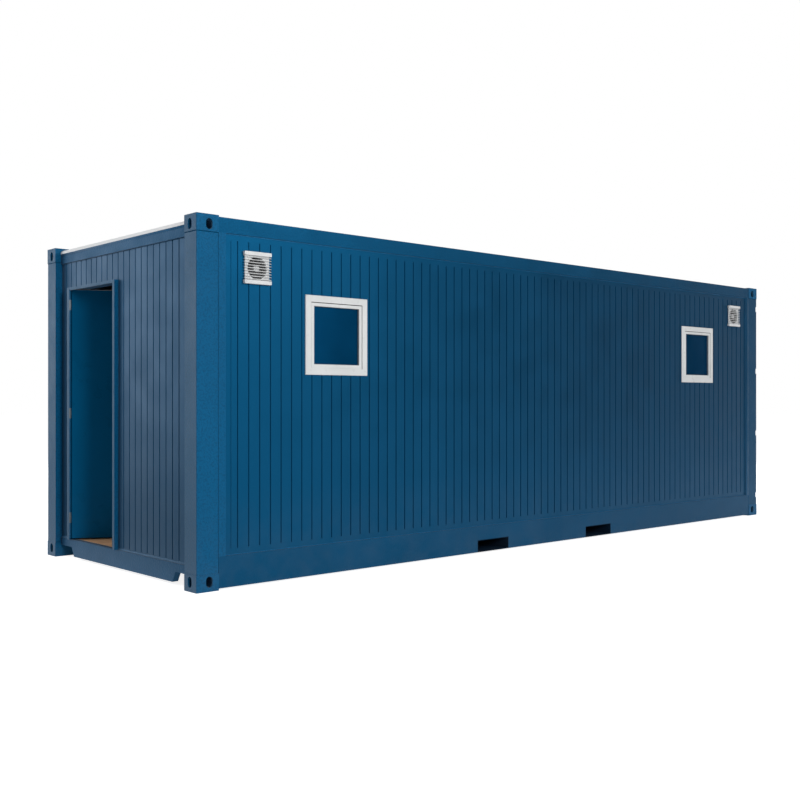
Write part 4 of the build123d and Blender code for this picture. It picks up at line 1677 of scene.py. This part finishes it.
@dataclass
class Studio:
    """The pale floor, the white surround, the lamps and the camera."""

    floor_size: float = 160.0
    floor_level: float = -0.0005
    floor_colour: Colour = (0.80, 0.80, 0.80)
    floor_glow: float = 0.84
    floor_shown: Colour = (0.60, 0.60, 0.60)
    surround_level: float = 0.28
    flags: tuple[Flag, ...] = (
        Flag("right_flag", (7.3, -7.7, 4.0), (7.8, 9.0), (90.0, 0.0, 38.0)),
        Flag("ground_flag", (-11.0, 7.0, 0.01), (14.0, 18.0), (0.0, 0.0, 0.0), (0.30, 0.30, 0.30)),
        Flag("near_flag", (-9.6, -8.0, 2.0), (6.0, 6.0), (90.0, 0.0, -33.0)),
    )
    image_size: float = 800.0
    sensor: float = 36.0
    focal_pixels: float = 1047.36
    principal_pixel: float = 410.0
    azimuth_deg: float = 42.189
    eye: Triple = (-7.3661, -7.4583, 1.3151)
    lamps: tuple[Lamp, ...] = (
        Lamp("corner_lamp", (-5.2, -12.5, 4.5), (-3.0, -1.0, 1.2), 3.0, 700.0, True),
        Lamp("front_lamp", (3.2, -12.0, 6.5), (2.0, -1.2, 1.2), 5.0, 460.0, True),
        Lamp("end_lamp", (-14.0, 16.0, 4.5), (-3.6, 0.0, 1.3), 12.0, 600.0, True),
        Lamp("side_lamp", (-12.0, 6.0, 6.0), (-3.6, 0.3, 1.6), 4.0, 420.0),
        Lamp("top_lamp", (0.0, 0.5, 9.0), (0.0, 0.5, 2.6), 6.0, 90.0),
        Lamp("back_lamp", (1.0, 12.0, 6.0), (0.0, 1.2, 1.3), 5.0, 700.0),
        Lamp("far_lamp", (12.0, 1.0, 5.0), (3.7, 0.0, 1.3), 4.0, 420.0),
    )

    def build(self) -> None:
        """Build the stage."""
        self.floor()
        for flag in self.flags:
            flag.build()
        self.surround()
        for lamp in self.lamps:
            lamp.build()
        self.camera()

    @staticmethod
    def show(board: NodeBoard, lighting: bpy.types.Node, shown: bpy.types.Node, output: str) -> None:
        """Let camera, glossy and transmission rays see one shader and light the scene with another.

        Args:
            board: The nodes of the floor or of the surround.
            lighting: The shader for all other rays.
            shown: The shader that is seen.
            output: The output node's type.
        """
        path = board.node("LightPath").outputs
        seen = path["Is Camera Ray"]
        for name in ("Is Glossy Ray", "Is Transmission Ray"):
            seen = board.node("Math", {0: seen, 1: path[name]}, operation="ADD", use_clamp=True).outputs[0]
        choice = board.node("MixShader", {0: seen, 1: lighting.outputs[0], 2: shown.outputs[0]})
        board.node(output, {"Surface": choice.outputs[0]})

    def floor(self) -> None:
        """Lay the pale floor, which shows white and keeps the cabin's shadow."""
        Piece.clear()
        bpy.ops.mesh.primitive_plane_add(size=self.floor_size, location=(0, 0, self.floor_level))
        floor = Piece.settle("studio_floor").item
        material = bpy.data.materials.new("studio_floor")
        board = NodeBoard(material)
        board.tree.nodes.clear()
        matte = board.node("BsdfDiffuse", {"Color": self.floor_colour})
        soft = board.node("BsdfDiffuse", {"Color": self.floor_shown})
        glow = board.node("Emission", {"Strength": self.floor_glow})
        shown = board.node("AddShader", {0: soft.outputs[0], 1: glow.outputs[0]})
        self.show(board, matte, shown, "OutputMaterial")
        floor.data.materials.append(material)

    def surround(self) -> None:
        """Set the world, which lights softly and shows white."""
        world = bpy.data.worlds.new("studio_surround")
        bpy.context.scene.world = world
        board = NodeBoard(world)
        board.tree.nodes.clear()
        light = board.node("Background", {"Color": WHITE, "Strength": self.surround_level})
        white = board.node("Background", {"Color": WHITE, "Strength": 1.0})
        self.show(board, light, white, "OutputWorld")

    def camera(self) -> None:
        """Place the level camera at the photograph's viewing angle."""
        lens = bpy.data.cameras.new("photo_camera")
        lens.sensor_width = self.sensor
        lens.lens = self.focal_pixels * self.sensor / self.image_size
        lens.shift_x = (self.image_size / 2 - self.principal_pixel) / self.image_size
        camera = bpy.data.objects.new("photo_camera", lens)
        camera.location = self.eye
        camera.rotation_euler = (math.radians(90), 0.0, -math.radians(self.azimuth_deg))
        bpy.context.scene.collection.objects.link(camera)
        bpy.context.scene.camera = camera


def main() -> None:
    """Build every sub-assembly in order, then the stage."""
    logging.basicConfig(level=logging.INFO, format="%(name)s: %(message)s")
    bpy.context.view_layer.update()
    CabinShell().dress()
    LongWall("front", -1.0).build()
    LongWall("back", 1.0).build()
    EndWalls().build()
    CornerJoints().build()
    RoofEdges().build()
    RoofFixings().build()
    for side in ("left", "right"):
        Window(side).build()
        Ventilator(side).build()
    Room().build()
    EntranceDoor().build()
    Studio().build()
    bpy.context.scene.view_settings.view_transform = "Standard"


if __name__ == "__main__":
    main()
